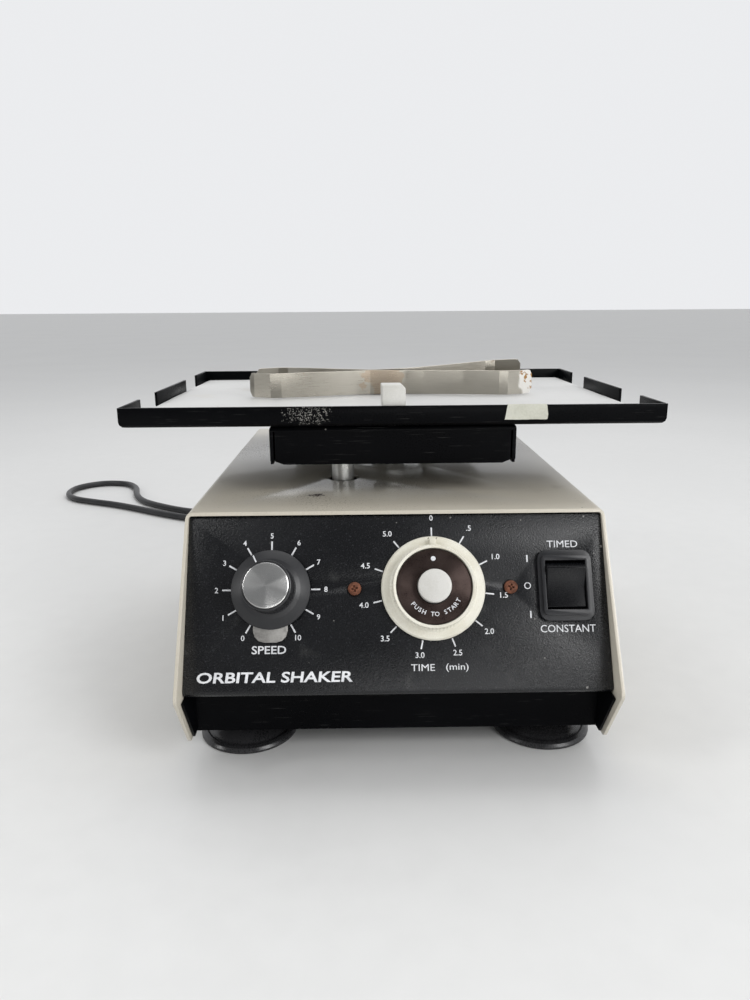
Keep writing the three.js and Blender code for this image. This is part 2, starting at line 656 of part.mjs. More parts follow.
const timerDisc = () => turned([
  [8.4, 3], [10.4, 3], [10.4, 6.4], [17.8, 6.8], [17.8, 8], [8.4, 8],
], FINE_ROUND);

const startButton = () => turned([
  [0, -22], [3.2, -22], [3.2, 5.6], [7.9, 5.6], [7.9, 11.2], [7.1, 12], [0, 12.3],
]);

function switchBody() {
  const flange = roundedBox(13, 17, 4.5, GAP, 2);
  const rim = roundedBox(11.4, 14.4, 2.4, 1.5, 3.5);
  const behind = block([-11.7, -15.2, -27], [11.7, 15.2, 1]);
  const cavity = block([-9.75, -11.8, -9.6], [9.75, 11.8, 6]);
  const blade = (y) => block([-3.2, y - 0.4, -34], [3.2, y + 0.4, -26]);
  return cut(join(flange, rim, behind, blade(-8), blade(0), blade(8)), cavity);
}

const ROCKER = { pivot: -2, reach: 11.4, tilt: 12, halfWidth: 9.4 };

/** Rocker outline about its pivot: round ends, a shallow V on top. */
function rocker() {
  const { reach, halfWidth } = ROCKER;
  const arc = (from, to) => [0, 1, 2, 3, 4].map((k) => {
    const a = THREE.MathUtils.degToRad(from + ((to - from) * k) / 4);
    return [reach * Math.cos(a), reach * Math.sin(a)];
  });
  return alongX(outline([[0, 4], ...arc(147, 200), ...arc(-20, 33)]), -halfWidth, halfWidth);
}

const knob = onPanel(KNOB_AT);
const knobTurn = new THREE.Group();
knobTurn.rotation.z = THREE.MathUtils.degToRad(KNOB_TURN);
knob.add(knobTurn);
add('speed_knob', speedKnob(), BLACK_PLASTIC, knobTurn);
const knobCap = turned([[0, 19.7], [10.5, 19.7], [10.5, 20.7], [9.9, 21], [0, 21]]);
add('speed_knob_cap', knobCap, ZINC, knobTurn);
add('dial_stop_tab', dialStopTab(), STEEL, knob);
add('potentiometer', potentiometer(), STEEL, knob);

const timer = onPanel(TIMER_AT);
add('timer_body', timerBody(), BLACK_PLASTIC, timer);
add('timer_ring', timerRing(), CREAM_PLASTIC, timer);
add('timer_disc', timerDisc(), BRONZE, timer);
add('start_button', startButton(), WHITE_PLASTIC, timer);
TIMER_SCREWS_X.forEach((x, i) => {
  const name = `timer_screw_${i === 0 ? 'left' : 'right'}`;
  add(name, screw(3.2, 1.9, 1.5, 8), RUSTY, onPanel([x, TIMER_AT[1]])).position.z = GAP;
});

const powerSwitch = onPanel(SWITCH_AT);
add('switch_body', switchBody(), BLACK_PLASTIC, powerSwitch);
const rockerMesh = add('rocker', rocker(), BLACK_PLASTIC, powerSwitch);
rockerMesh.position.z = ROCKER.pivot;
rockerMesh.rotation.x = THREE.MathUtils.degToRad(ROCKER.tilt);

// ---------------------------------------------------------------- electrics in the base
function controlBoard() {
  const board = block([-60, -112, 20], [-14, -66, 21.6]);
  const posts = [[-56, -108], [-18, -108], [-56, -70], [-18, -70]].map(([x, y]) =>
    rod(2.4, PAN.bottom + PAN.sheet + GAP, 20.5, 10).translate(x, y, 0));
  const sink = block([-58, -86, 21], [-54, -68, 42]);
  const capacitor = rod(6, 21, 40, 16).translate(-26, -76, 0);
  const relay = block([-48, -84, 21], [-36, -70, 32]);
  return join(board, ...posts, sink, capacitor, relay);
}

add('control_board', controlBoard(), finish('#2f5a3a', 0.6, 0));

/** A piece that passes through the rear panel, its axis pointing out of the back. */
function throughRear(profile, x, sides = SMALL_ROUND) {
  return turned(profile, sides).rotateX(-Math.PI / 2).translate(x, REAR_PANEL.y, CORD_EXIT[2]);
}

const fuseHolder = throughRear([
  [0, -22], [6.2, -22], [6.2, GAP], [8.6, GAP], [8.6, 3], [6, 3.4], [6, 8], [0, 8],
], FUSE_X);
const RELIEF_LENGTH = 24;
const RELIEF_BORE = CORD_RADIUS + 0.6;
const reliefSleeve = throughRear([
  [RELIEF_BORE, -6], [6.8, -6], [6.8, GAP], [9, GAP], [9, 2.6], [6.2, 3.6],
  [4.9, RELIEF_LENGTH], [RELIEF_BORE, RELIEF_LENGTH],
], CORD_EXIT[0]);
add('fuse_holder', fuseHolder, BLACK_PLASTIC);
add('strain_relief', reliefSleeve, RUBBER);

// ---------------------------------------------------------------- mains cord
const FLOOR = CORD_RADIUS + 0.1;
const COIL = { x: -20, y: 262, radius: 34, half: 10.4, low: 0.2, high: 14.2 };
const TURN_OUT = COIL.radius + 2 * CORD_RADIUS;      // the outermost turn's centre line
const CORD_ROUTE = [
  [-62, 138, 32], [-62, 155, 32], [-62, 171, 32], [-62.8, 184.5, 28.6], [-64.8, 197, 20.4],
  [-69, 209, 10.8], [-75.5, 221, 4.8], [-86, 237, FLOOR], [-106, 257, FLOOR],
  [-136, 275, FLOOR], [-170, 290, FLOOR],
  [-209, 308, FLOOR], [-240, 326, FLOOR], [-270, 346, FLOOR], [-300, 364, FLOOR], [-328, 377, FLOOR],
  [-354, 392, FLOOR], [-370, 418, FLOOR], [-368, 448, FLOOR], [-345, 468, FLOOR], [-315, 464, FLOOR],
  [-297, 442, FLOOR], [-287, 410, FLOOR], [-270, 378, FLOOR], [-244, 354, FLOOR], [-212, 333, FLOOR],
  [-172, 318, FLOOR], [-128, 308, FLOOR], [-88, 303.5, FLOOR], [-60, COIL.y + TURN_OUT, FLOOR],
  [COIL.x - 23.8, COIL.y + TURN_OUT, FLOOR],
];
const curve = new THREE.CatmullRomCurve3(
  CORD_ROUTE.map((p) => new THREE.Vector3(...p)), false, 'centripetal');
const cordSection = new THREE.Shape();
cordSection.absarc(0, 0, CORD_RADIUS, 0, 2 * Math.PI, false);
const CORD_STEPS = 56;
const cordTube = new THREE.ExtrudeGeometry(cordSection, {
  steps: CORD_STEPS, curveSegments: 4, extrudePath: curve, bevelEnabled: false });

function cordCoil() {
  const { radius, half, low, high, x, y } = COIL;
  const corner = 4;
  return turned([
    [radius - half, low + corner], [radius - half + corner, low], [radius + half - corner, low],
    [radius + half, low + corner], [radius + half, high - corner], [radius + half - corner, high],
    [radius - half + corner, high], [radius - half, high - corner],
  ]).translate(x, y, 0);
}

/** Moulded three-pin plug, its cord end at the origin and its blades towards +X. */
function plug() {
  const grip = outline([
    [0, -5.5, 3], [22, -9.5, 4], [34, -11.5, 4], [34, 11.5, 4], [22, 9.5, 4], [0, 5.5, 3],
  ]);
  const body = alongZ(grip, 0.2, 16);
  const blade = (y, z) => block([33, y - 0.8, z - 3.2], [50, y + 0.8, z + 3.2]);
  const earth = rod(2.4, 33, 53, 12).rotateY(Math.PI / 2).translate(0, 0, 11.6);
  return join(body, blade(-6.3, 5.4), blade(6.3, 5.4), earth);
}

add('power_cord', cordTube, BLACK_PLASTIC);
add('cord_coil', cordCoil(), BLACK_PLASTIC);
const plugMesh = add('plug', plug(), BLACK_PLASTIC);
plugMesh.position.set(COIL.x + COIL.radius + CORD_RADIUS, COIL.y - 31.6, 0);
plugMesh.rotation.z = -Math.PI / 2;

export default root;
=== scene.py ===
"""Looks of a bench-top orbital shaker for microplates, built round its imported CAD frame.

Metres, +Z up, the control panel facing -Y. Every mesh keeps its points in the row frame.
"""

import json
import math

import bmesh
import bpy
from mathutils import Matrix, Vector, noise


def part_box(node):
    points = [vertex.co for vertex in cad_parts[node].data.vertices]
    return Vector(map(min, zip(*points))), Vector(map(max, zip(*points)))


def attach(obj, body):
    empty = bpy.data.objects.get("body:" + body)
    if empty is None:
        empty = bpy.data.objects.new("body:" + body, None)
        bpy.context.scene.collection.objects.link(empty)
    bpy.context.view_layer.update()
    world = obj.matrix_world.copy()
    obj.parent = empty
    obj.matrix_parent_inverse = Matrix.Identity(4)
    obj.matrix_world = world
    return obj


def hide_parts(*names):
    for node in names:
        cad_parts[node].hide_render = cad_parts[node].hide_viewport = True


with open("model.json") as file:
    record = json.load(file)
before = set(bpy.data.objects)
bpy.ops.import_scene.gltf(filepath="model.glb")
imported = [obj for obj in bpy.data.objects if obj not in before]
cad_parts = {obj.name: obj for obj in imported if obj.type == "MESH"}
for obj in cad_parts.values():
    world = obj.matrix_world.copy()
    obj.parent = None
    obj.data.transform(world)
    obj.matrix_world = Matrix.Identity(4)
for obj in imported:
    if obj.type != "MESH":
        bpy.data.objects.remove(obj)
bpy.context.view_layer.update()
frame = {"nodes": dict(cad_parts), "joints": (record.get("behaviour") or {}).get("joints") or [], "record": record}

MM = 0.001
RECORD = frame["record"]
NODES = frame["nodes"]
JOINTS = {joint["name"]: joint for joint in frame["joints"]}
BODY_OF = {n: body for body, names in RECORD["behaviour"]["bodies"].items() for n in names}
SLOT_OF = {part["node"]: part["material_slot"] for part in RECORD["subparts"]}
X_AXIS = Vector((1, 0, 0))

# ---------------------------------------------------------------- camera, light and floor
CAMERA_AT = Vector((-0.01466, -0.45964, 0.22017))
CAMERA_PITCH, CAMERA_YAW, CAMERA_ROLL = 14.62, 0.74, 0.40    # degrees: down, right, roll
CAMERA_LENS = 27

SKY_COLOUR = (0.97, 0.98, 1.0, 1)
DIM_SIDE = (-0.45, -0.8, 0.4)       # the room is dimmest this way, on the photographer's side
DIM_FROM, DIM_TO = 0.15, 0.85       # how far a direction leans that way where the fall starts and ends
SKY_BRIGHT, SKY_DIM = 0.86, 0.26
AREA_LIGHTS = [
    # name, place, aimed at, width and height in metres, watts
    ("overhead", (0.1, 0.6, 1.5), (0, 0.05, 0.1), (1.4, 0.9), 7),
    ("window_right", (0.98, -1.05, 0.84), (0.05, -0.1, 0.1), (0.6, 0.85), 11),
    ("strip_left", (-1.0, -0.5, 0.7), (0, -0.1, 0.1), (0.15, 0.9), 4),
    ("low_fill", (0.25, -1.2, 0.14), (0, 0, 0.12), (0.9, 0.12), 1.6),
]


def add_camera():
    pitch, yaw, roll = (math.radians(a) for a in (CAMERA_PITCH, CAMERA_YAW, CAMERA_ROLL))
    ahead = Vector((math.sin(yaw) * math.cos(pitch), math.cos(yaw) * math.cos(pitch),
                    -math.sin(pitch)))
    level = Vector((math.cos(yaw), -math.sin(yaw), 0))
    down = ahead.cross(level)
    right = level * math.cos(roll) + down * math.sin(roll)
    up = level * math.sin(roll) - down * math.cos(roll)
    data = bpy.data.cameras.new("camera")
    data.lens = CAMERA_LENS
    data.clip_start = 0.01
    camera = bpy.data.objects.new("camera", data)
    turned = Matrix((right, up, -ahead)).transposed().to_4x4()
    camera.matrix_world = Matrix.Translation(CAMERA_AT) @ turned
    bpy.context.collection.objects.link(camera)
    bpy.context.scene.camera = camera


def add_area(name, at, towards, size, power):
    data = bpy.data.lights.new(name, "AREA")
    data.shape = "RECTANGLE"
    data.size, data.size_y = size
    data.energy = power
    light = bpy.data.objects.new(name, data)
    light.location = at
    light.rotation_euler = (Vector(towards) - Vector(at)).to_track_quat("-Z", "Y").to_euler()
    bpy.context.collection.objects.link(light)


def add_light():
    world = bpy.data.worlds.new("studio")
    world.use_nodes = True
    sky = world.node_tree.nodes["Background"]
    sky.inputs["Color"].default_value = SKY_COLOUR
    nodes, links = world.node_tree.nodes, world.node_tree.links
    way = nodes.new("ShaderNodeTexCoord").outputs["Generated"]
    side = nodes.new("ShaderNodeVectorMath")
    side.operation = "DOT_PRODUCT"
    links.new(way, side.inputs[0])
    side.inputs[1].default_value = DIM_SIDE
    fall = nodes.new("ShaderNodeMapRange")
    fall.interpolation_type = "SMOOTHSTEP"
    links.new(side.outputs["Value"], fall.inputs["Value"])
    limits = {"From Min": DIM_FROM, "From Max": DIM_TO, "To Min": SKY_BRIGHT, "To Max": SKY_DIM}
    for key, value in limits.items():
        fall.inputs[key].default_value = value
    links.new(fall.outputs[0], sky.inputs["Strength"])
    bpy.context.scene.world = world
    bpy.context.scene.view_settings.view_transform = "Standard"
    for light in AREA_LIGHTS:
        add_area(*light)


# ---------------------------------------------------------------- material building blocks
class Shade:
    """A material under construction, with short calls for the nodes that the looks share."""

    def __init__(self, name):
        self.material = bpy.data.materials.new(name)
        self.material.use_nodes = True
        self.tree = self.material.node_tree
        self.shader = self.tree.nodes["Principled BSDF"]
        self.place = self.tree.nodes.new("ShaderNodeTexCoord").outputs["Object"]

    def node(self, kind, inputs=(), **settings):
        made = self.tree.nodes.new(kind)
        for key, value in settings.items():
            setattr(made, key, value)
        for key, value in dict(inputs).items():
            if isinstance(value, bpy.types.NodeSocket):
                self.tree.links.new(value, made.inputs[key])
            else:
                made.inputs[key].default_value = value
        return made

    def constants(self, **values):
        for key, value in values.items():
            self.shader.inputs[key.replace("_", " ")].default_value = value

    def feed(self, name, value):
        self.tree.links.new(value, self.shader.inputs[name])

    def stretched(self, scale):
        return self.node("ShaderNodeMapping", {"Vector": self.place, "Scale": scale}).outputs[0]

    def noise(self, scale, detail, at=None):
        return self.node("ShaderNodeTexNoise", {
            "Vector": at or self.place, "Scale": scale, "Detail": detail}).outputs[0]

    def ramp(self, value, low, high, start=0.0, end=1.0):
        return self.node("ShaderNodeMapRange", {
            "Value": value, "From Min": low, "From Max": high, "To Min": start, "To Max": end,
        }, interpolation_type="SMOOTHSTEP").outputs[0]

    def math(self, operation, a, b=0.0):
        return self.node("ShaderNodeMath", {0: a, 1: b}, operation=operation).outputs[0]

    def mix(self, factor, a, b):
        pick = [value if isinstance(value, bpy.types.NodeSocket) else (*value, 1) for value in (a, b)]
        return self.node("ShaderNodeMix", {0: factor, 6: pick[0], 7: pick[1]}, data_type="RGBA").outputs[2]

    def specks(self, scale, size, share):
        """Small round dots in a share of the cells, some larger than others."""
        cells = self.node("ShaderNodeTexVoronoi", {"Vector": self.place, "Scale": scale})
        chance = self.node("ShaderNodeSeparateColor", {0: cells.outputs["Color"]}).outputs
        chosen = self.math("LESS_THAN", chance[0], share)
        radius = self.math("MULTIPLY", chance[1], size)
        return self.math("MULTIPLY", chosen, self.math("LESS_THAN", cells.outputs["Distance"], radius))

    def near(self, centre, reach, rough=0.6, scale=300.0):
        """A ragged patch round a point of the row frame: 1 at the point, 0 past its reach."""
        away = self.node("ShaderNodeVectorMath", {0: self.place, 1: centre},
                         operation="SUBTRACT").outputs[0]
        unit = self.node("ShaderNodeVectorMath", {0: away, 1: [1 / r for r in reach]},
                         operation="MULTIPLY").outputs[0]
        length = self.node("ShaderNodeVectorMath", {0: unit}, operation="LENGTH").outputs["Value"]
        ragged = self.math("ADD", length, self.ramp(self.noise(scale, 5.0), 0.3, 0.7, -rough, rough))
        return self.ramp(ragged, 1.0, 0.8)

    def bump(self, height, distance, strength=1.0):
        inputs = {"Height": height, "Distance": distance, "Strength": strength}
        self.feed("Normal", self.node("ShaderNodeBump", inputs).outputs[0])


COAT_ROUGHNESS = 0.12               # of a clear coat, where a look has one


def surface(name, dark, light, gloss, metal=0.0, patches=14.0, grain=900.0, relief=0.00004,
            stretch=(1, 1, 1)):
    """The common recipe: two tones in soft patches, fine grain, varied gloss and a fine relief."""
    s = Shade(name)
    s.constants(Metallic=metal, Coat_Roughness=COAT_ROUGHNESS)
    broad = s.noise(patches, 5.0)
    fine = s.noise(grain, 3.0, s.stretched(stretch))
    tone = s.ramp(s.math("ADD", s.math("MULTIPLY", broad, 0.65), s.math("MULTIPLY", fine, 0.35)),
                  0.35, 0.65)
    s.colour = s.mix(tone, dark, light)
    s.rough = s.ramp(s.math("ADD", s.math("MULTIPLY", broad, 0.5), s.math("MULTIPLY", fine, 0.5)),
                     0.3, 0.7, *gloss)
    s.bump(fine, relief)
    s.feed("Base Color", s.colour)
    s.feed("Roughness", s.rough)
    return s


def repaint(shade, factor, colour):
    shade.colour = shade.mix(factor, shade.colour, colour)
    shade.feed("Base Color", shade.colour)


def roughen(shade, factor, value):
    shade.rough = shade.node("ShaderNodeMix", {0: factor, 2: shade.rough, 3: value},
                             data_type="FLOAT").outputs[0]
    shade.feed("Roughness", shade.rough)


# A quarter turn of the anisotropy makes the highlight run out from the centre, across the rings.
SPUN_STRETCH, SPUN_TURN = 0.9, 0.25
RINGS_PER_METRE, RING_DEPTH = 9000.0, 0.000004


def spun(shade, centre, axis):
    """Fine turned rings about an axis, with the stretched highlight that they give."""
    away = shade.node("ShaderNodeVectorMath", {0: shade.place, 1: centre},
                      operation="SUBTRACT").outputs[0]
    round_it = shade.node("ShaderNodeVectorMath", {0: axis, 1: away},
                          operation="CROSS_PRODUCT").outputs[0]
    turned = shade.node("ShaderNodeVectorTransform", {0: round_it}, vector_type="VECTOR",
                        convert_from="OBJECT", convert_to="WORLD").outputs[0]
    unit = shade.node("ShaderNodeVectorMath", {0: turned}, operation="NORMALIZE").outputs[0]
    radius = shade.node("ShaderNodeVectorMath", {0: away}, operation="LENGTH").outputs["Value"]
    rings = shade.node("ShaderNodeTexNoise", {"W": radius, "Scale": RINGS_PER_METRE, "Detail": 2.0},
                       noise_dimensions="1D").outputs[0]
    shade.constants(Anisotropic=SPUN_STRETCH, Anisotropic_Rotation=SPUN_TURN)
    shade.feed("Tangent", unit)
    shade.bump(rings, RING_DEPTH, 0.6)


# ---------------------------------------------------------------- panel frame and reused places
PANEL_OUT = Vector(JOINTS["speed_dial_turn"]["axis"]).normalized()
PANEL_UP = PANEL_OUT.cross(X_AXIS)
KNOB_AT = Vector(JOINTS["speed_dial_turn"]["pos_m"])
PANEL = Matrix((X_AXIS, PANEL_UP, PANEL_OUT)).transposed().to_4x4()
PANEL.translation = Vector((0, KNOB_AT.y, KNOB_AT.z))
PLATFORM_AT = Vector(JOINTS["platform_orbit"]["pos_m"])
KNOB_TURN = math.radians(28)


def on_panel(x, up, out=0.0, turn=0.0):
    """A place on the panel: across, up from the knob's row and out of it, turned anticlockwise."""
    return PANEL @ Matrix.Translation((x, up, out)) @ Matrix.Rotation(turn, 4, "Z")


def panel_place(joint):
    return PANEL.inverted() @ Vector(JOINTS[joint]["pos_m"])


KNOB = panel_place("speed_dial_turn")
TIMER = panel_place("timer_dial_turn")
SWITCH = panel_place("rocker_tilt")

# ---------------------------------------------------------------- looks, one per material slot
COVER_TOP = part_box("top_cover")[1].z
MAT_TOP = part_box("platform_mat")[1].z
LIP_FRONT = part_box("platform_tray")[0].y


def cream_paint():
    s = surface("cream_paint", (0.55, 0.51, 0.425), (0.60, 0.56, 0.475), (0.26, 0.38),
                0.0, 9, 1100, 0.00002)
    s.constants(Specular_IOR_Level=0.6, Coat_Weight=0.3)
    repaint(s, s.math("MULTIPLY", s.ramp(s.noise(55, 6.0), 0.6, 0.8), 0.35), (0.30, 0.265, 0.20))
    scuff = s.noise(900, 3.0, s.stretched((0.3, 2.2, 1)))
    worn = s.math("MULTIPLY", s.near((0.0, -0.068, COVER_TOP), (0.034, 0.014, 0.004), 0.3, 90),
                  s.ramp(scuff, 0.5, 0.62))
    repaint(s, s.math("MULTIPLY", worn, 0.55), (0.62, 0.61, 0.57))
    roughen(s, worn, 0.6)
    chip = s.near((-0.0406, -0.0715, COVER_TOP), (0.0042, 0.0028, 0.004), 0.45, 500)
    repaint(s, chip, (0.05, 0.032, 0.02))
    repaint(s, s.specks(130, 0.09, 0.1), (0.16, 0.14, 0.11))
    return s


def black_textured_paint():
    s = surface("black_textured_paint", (0.003, 0.0034, 0.0044), (0.0065, 0.007, 0.0085), (0.22, 0.36),
                0.0, 20, 1500, 0.00014)
    s.constants(Specular_IOR_Level=0.42)
    repaint(s, s.math("MULTIPLY", s.ramp(s.noise(1300, 2.0), 0.6, 0.72), 0.5), (0.05, 0.052, 0.058))
    repaint(s, s.math("MULTIPLY", s.specks(260, 0.16, 0.12), 0.6), (0.32, 0.31, 0.29))
    repaint(s, s.math("MULTIPLY", s.ramp(s.noise(70, 7.0), 0.62, 0.85), 0.3), (0.12, 0.12, 0.115))
    return s


def black_sheet():
    s = surface("black_sheet", (0.0012, 0.0013, 0.0018), (0.0025, 0.0027, 0.0034), (0.24, 0.4),
                0.0, 16, 1300, 0.00002)
    s.constants(Specular_IOR_Level=0.05)
    scratches = s.noise(500, 4.0, s.stretched((0.12, 1, 6)))
    repaint(s, s.math("MULTIPLY", s.ramp(scratches, 0.66, 0.74), 0.5), (0.07, 0.07, 0.068))
    repaint(s, s.math("MULTIPLY", s.specks(170, 0.12, 0.1), 0.7), (0.28, 0.27, 0.25))
    residue = s.near((-0.044, LIP_FRONT, 0.1672), (0.012, 0.004, 0.0062), 0.35, 420)
    edge = s.math("MULTIPLY", residue, s.ramp(s.noise(1500, 3.0), 0.52, 0.66))
    repaint(s, s.math("MULTIPLY", edge, 0.55), (0.45, 0.44, 0.41))
    roughen(s, residue, 0.55)
    return s


def stainless():
    s = surface("stainless", (0.40, 0.375, 0.325), (0.47, 0.445, 0.39), (0.26, 0.36),
                1.0, 30, 800, 0.000006, (0.15, 0.15, 5))
    rust = s.ramp(s.noise(75, 7.0), 0.68, 0.76)
    repaint(s, s.math("MULTIPLY", rust, 0.7), (0.24, 0.11, 0.035))
    behind_block = s.near((-0.003, 0.024, 0.172), (0.014, 0.006, 0.012), 0.4, 160)
    repaint(s, s.math("MULTIPLY", behind_block, 0.35), (0.36, 0.22, 0.11))
    stained = s.near((0.089, 0.0205, 0.173), (0.0075, 0.0075, 0.012), 0.15, 160)
    white = s.mix(s.ramp(s.noise(330, 6.0), 0.54, 0.62), (0.80, 0.78, 0.74), (0.38, 0.2, 0.06))
    repaint(s, stained, white)
    roughen(s, s.math("MAXIMUM", stained, rust), 0.7)
    metal = s.ramp(s.math("MAXIMUM", stained, rust), 0.0, 1.0, 1.0, 0.2)
    s.feed("Metallic", metal)
    return s


def white_mat():
    s = surface("white_mat", (0.56, 0.56, 0.55), (0.63, 0.63, 0.62), (0.42, 0.62), 0.0, 16, 700, 0.00008)
    s.constants(Specular_IOR_Level=0.35)
    spill = s.near((-0.0072, -0.067, MAT_TOP), (0.0045, 0.0035, 0.01), 0.5, 420)
    repaint(s, s.math("MULTIPLY", spill, 0.8), (0.62, 0.27, 0.05))
    repaint(s, s.math("MULTIPLY", s.ramp(s.noise(24, 6.0), 0.58, 0.75), 0.3), (0.55, 0.51, 0.43))
    repaint(s, s.specks(120, 0.08, 0.12), (0.3, 0.22, 0.14))
    return s


def spun_aluminium():
    s = surface("spun_aluminium", (0.60, 0.60, 0.59), (0.64, 0.64, 0.63), (0.2, 0.24),
                1.0, 90, 2000, 0.000001)
    spun(s, KNOB_AT, PANEL_OUT)
    return s


def brown_anodised():
    s = surface("brown_anodised", (0.052, 0.036, 0.032), (0.078, 0.056, 0.05), (0.26, 0.36), 0.9, 150, 2000)
    spun(s, Vector(JOINTS["timer_dial_turn"]["pos_m"]), PANEL_OUT)
    return s


def rusty_screw():
    s = surface("rusty_screw", (0.10, 0.034, 0.016), (0.23, 0.085, 0.045), (0.5, 0.75),
                0.35, 400, 1600, 0.0001)
    repaint(s, s.ramp(s.noise(900, 5.0), 0.62, 0.7), (0.04, 0.02, 0.012))
    return s


def rubber():
    s = surface("rubber", (0.016, 0.016, 0.017), (0.030, 0.030, 0.032), (0.2, 0.42), 0.0, 60, 1400, 0.00003)
    repaint(s, s.math("MULTIPLY", s.specks(240, 0.15, 0.12), 0.5), (0.22, 0.21, 0.2))
    return s


def circuit_board():
    s = surface("circuit_board", (0.02, 0.075, 0.03), (0.03, 0.10, 0.045), (0.3, 0.45), 0.0, 50, 900)
    tracks = s.node("ShaderNodeTexBrick", {
        "Vector": s.place, "Scale": 120.0, "Mortar Size": 0.04}).outputs["Fac"]
    repaint(s, s.math("MULTIPLY", tracks, 0.6), (0.10, 0.22, 0.09))
    return s


LOOKS = {
    "cream_paint": cream_paint(),
    "black_textured_paint": black_textured_paint(),
    "black_sheet": black_sheet(),
    "rubber": rubber(),
    "zinc_plate": surface("zinc_plate", (0.42, 0.42, 0.40), (0.58, 0.58, 0.56), (0.24, 0.45),
                          1.0, 90, 1500),
    "stainless": stainless(),
    "steel": surface("steel", (0.30, 0.29, 0.275), (0.42, 0.41, 0.39), (0.3, 0.5), 0.9, 120, 1300),
    "cast_aluminium": surface("cast_aluminium", (0.40, 0.40, 0.39), (0.52, 0.52, 0.51), (0.35, 0.55),
                              0.9, 60, 900, 0.00006),
    "spun_aluminium": spun_aluminium(),
    "brown_anodised": brown_anodised(),
    "rusty_screw": rusty_screw(),
    "bronze": surface("bronze", (0.26, 0.16, 0.07), (0.37, 0.24, 0.11), (0.3, 0.5), 0.9, 80, 1400),
    "black_plastic": surface("black_plastic", (0.009, 0.0095, 0.011), (0.016, 0.0165, 0.019),
                             (0.28, 0.42), 0.0, 50, 1800, 0.00002),
    "cream_plastic": surface("cream_plastic", (0.70, 0.67, 0.56), (0.80, 0.78, 0.69), (0.3, 0.42),
                             0.0, 70, 1500, 0.00001),
    "white_plastic": surface("white_plastic", (0.58, 0.57, 0.53), (0.65, 0.64, 0.61), (0.3, 0.45),
                             0.0, 80, 1400, 0.00001),
    "white_mat": white_mat(),
    "circuit_board": circuit_board(),
    "cord_rubber": surface("cord_rubber", (0.011, 0.011, 0.012), (0.020, 0.020, 0.022), (0.32, 0.5),
                           0.0, 60, 1600, 0.00002),
}
INK = surface("white_ink", (0.62, 0.63, 0.65), (0.82, 0.83, 0.85), (0.45, 0.6), 0.0, 160, 2200, 0.00001)
DARK_INK = surface("dark_ink", (0.10, 0.09, 0.07), (0.2, 0.18, 0.14), (0.5, 0.7), 0.0, 160, 2200, 0.00001)
TAPE = surface("masking_tape", (0.50, 0.50, 0.42), (0.60, 0.60, 0.52), (0.5, 0.7), 0.0, 70, 900, 0.00008)
TIE = surface("cord_tie", (0.02, 0.02, 0.022), (0.04, 0.04, 0.043), (0.6, 0.8), 0.0, 90, 1200, 0.0001)
# A darker copy of the black plastic, for the rocker only: its darker base colour is painted shade.
ROCKER_SHADED = surface("rocker_plastic_shaded", (0.003, 0.0033, 0.004), (0.006, 0.0063, 0.0075), (0.2, 0.32),
                 0.0, 50, 1800, 0.00001)
ROCKER_SHADED.constants(Specular_IOR_Level=0.16)
BRASS = surface("nickel_pins", (0.50, 0.47, 0.40), (0.66, 0.63, 0.55), (0.2, 0.35), 1.0, 120, 1500)
FLOOR_LOOK = surface("pale_floor", (0.70, 0.70, 0.69), (0.73, 0.73, 0.72), (0.5, 0.6), 0.0, 3, 60, 0.00001)


# ---------------------------------------------------------------- mesh building blocks
SMOOTH_ANGLE = math.radians(38)


def piece(name, mesh, look, body, stands_for=(), slot=None, smooth=True, sharp=SMOOTH_ANGLE):
    """Adds a finished mesh to the scene: its look, its shading, its body and what it replaces."""
    obj = bpy.data.objects.new(name, mesh)
    bpy.context.collection.objects.link(obj)
    mesh.materials.clear()
    mesh.materials.append(look.material)
    if smooth:
        mesh.polygons.foreach_set("use_smooth", [True] * len(mesh.polygons))
        mesh.set_sharp_from_angle(angle=sharp)
    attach(obj, body)
    for node in stands_for:
        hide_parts(node)
    return obj


def shown(node, mesh, **settings):
    """The drawn shape of one CAD node, with that node's body and, unless given, the look of its slot."""
    slot = SLOT_OF[node]
    look = settings.pop("look", LOOKS[slot])
    return piece(f"{node}_shown", mesh, look, BODY_OF[node], [node], slot, **settings)


def with_modifiers(mesh, *modifiers):
    """The mesh after some modifiers, each a kind and its settings, with none left on it."""
    holder = bpy.data.objects.new("work", mesh)
    bpy.context.collection.objects.link(holder)
    for kind, settings in modifiers:
        modifier = holder.modifiers.new(kind, kind)
        for key, value in settings.items():
            setattr(modifier, key, value)
    bpy.context.view_layer.update()
    done = bpy.data.meshes.new_from_object(holder.evaluated_get(bpy.context.evaluated_depsgraph_get()))
    bpy.data.objects.remove(holder)
    return done


def as_mesh(bm, name):
    bmesh.ops.recalc_face_normals(bm, faces=bm.faces)
    mesh = bpy.data.meshes.new(name)
    bm.to_mesh(mesh)
    bm.free()
    return mesh


WELD, FLAT, SHARP_EDGE = 1e-6, math.radians(0.6), math.radians(28)


def refined(node, edge, segments):
    """A CAD node's own shape with flat faces made whole and every sharp edge rounded."""
    bm = bmesh.new()
    bm.from_mesh(NODES[node].data)
    bmesh.ops.remove_doubles(bm, verts=bm.verts, dist=WELD)
    bmesh.ops.dissolve_limit(bm, angle_limit=FLAT, verts=bm.verts, edges=bm.edges)
    bevel = {"width": edge, "segments": segments, "limit_method": "ANGLE", "angle_limit": SHARP_EDGE}
    return with_modifiers(as_mesh(bm, node), ("BEVEL", bevel), ("WEIGHTED_NORMAL", {"keep_sharp": True}))


def refine(node, edge, segments=2, **settings):
    return shown(node, refined(node, edge, segments), **settings)


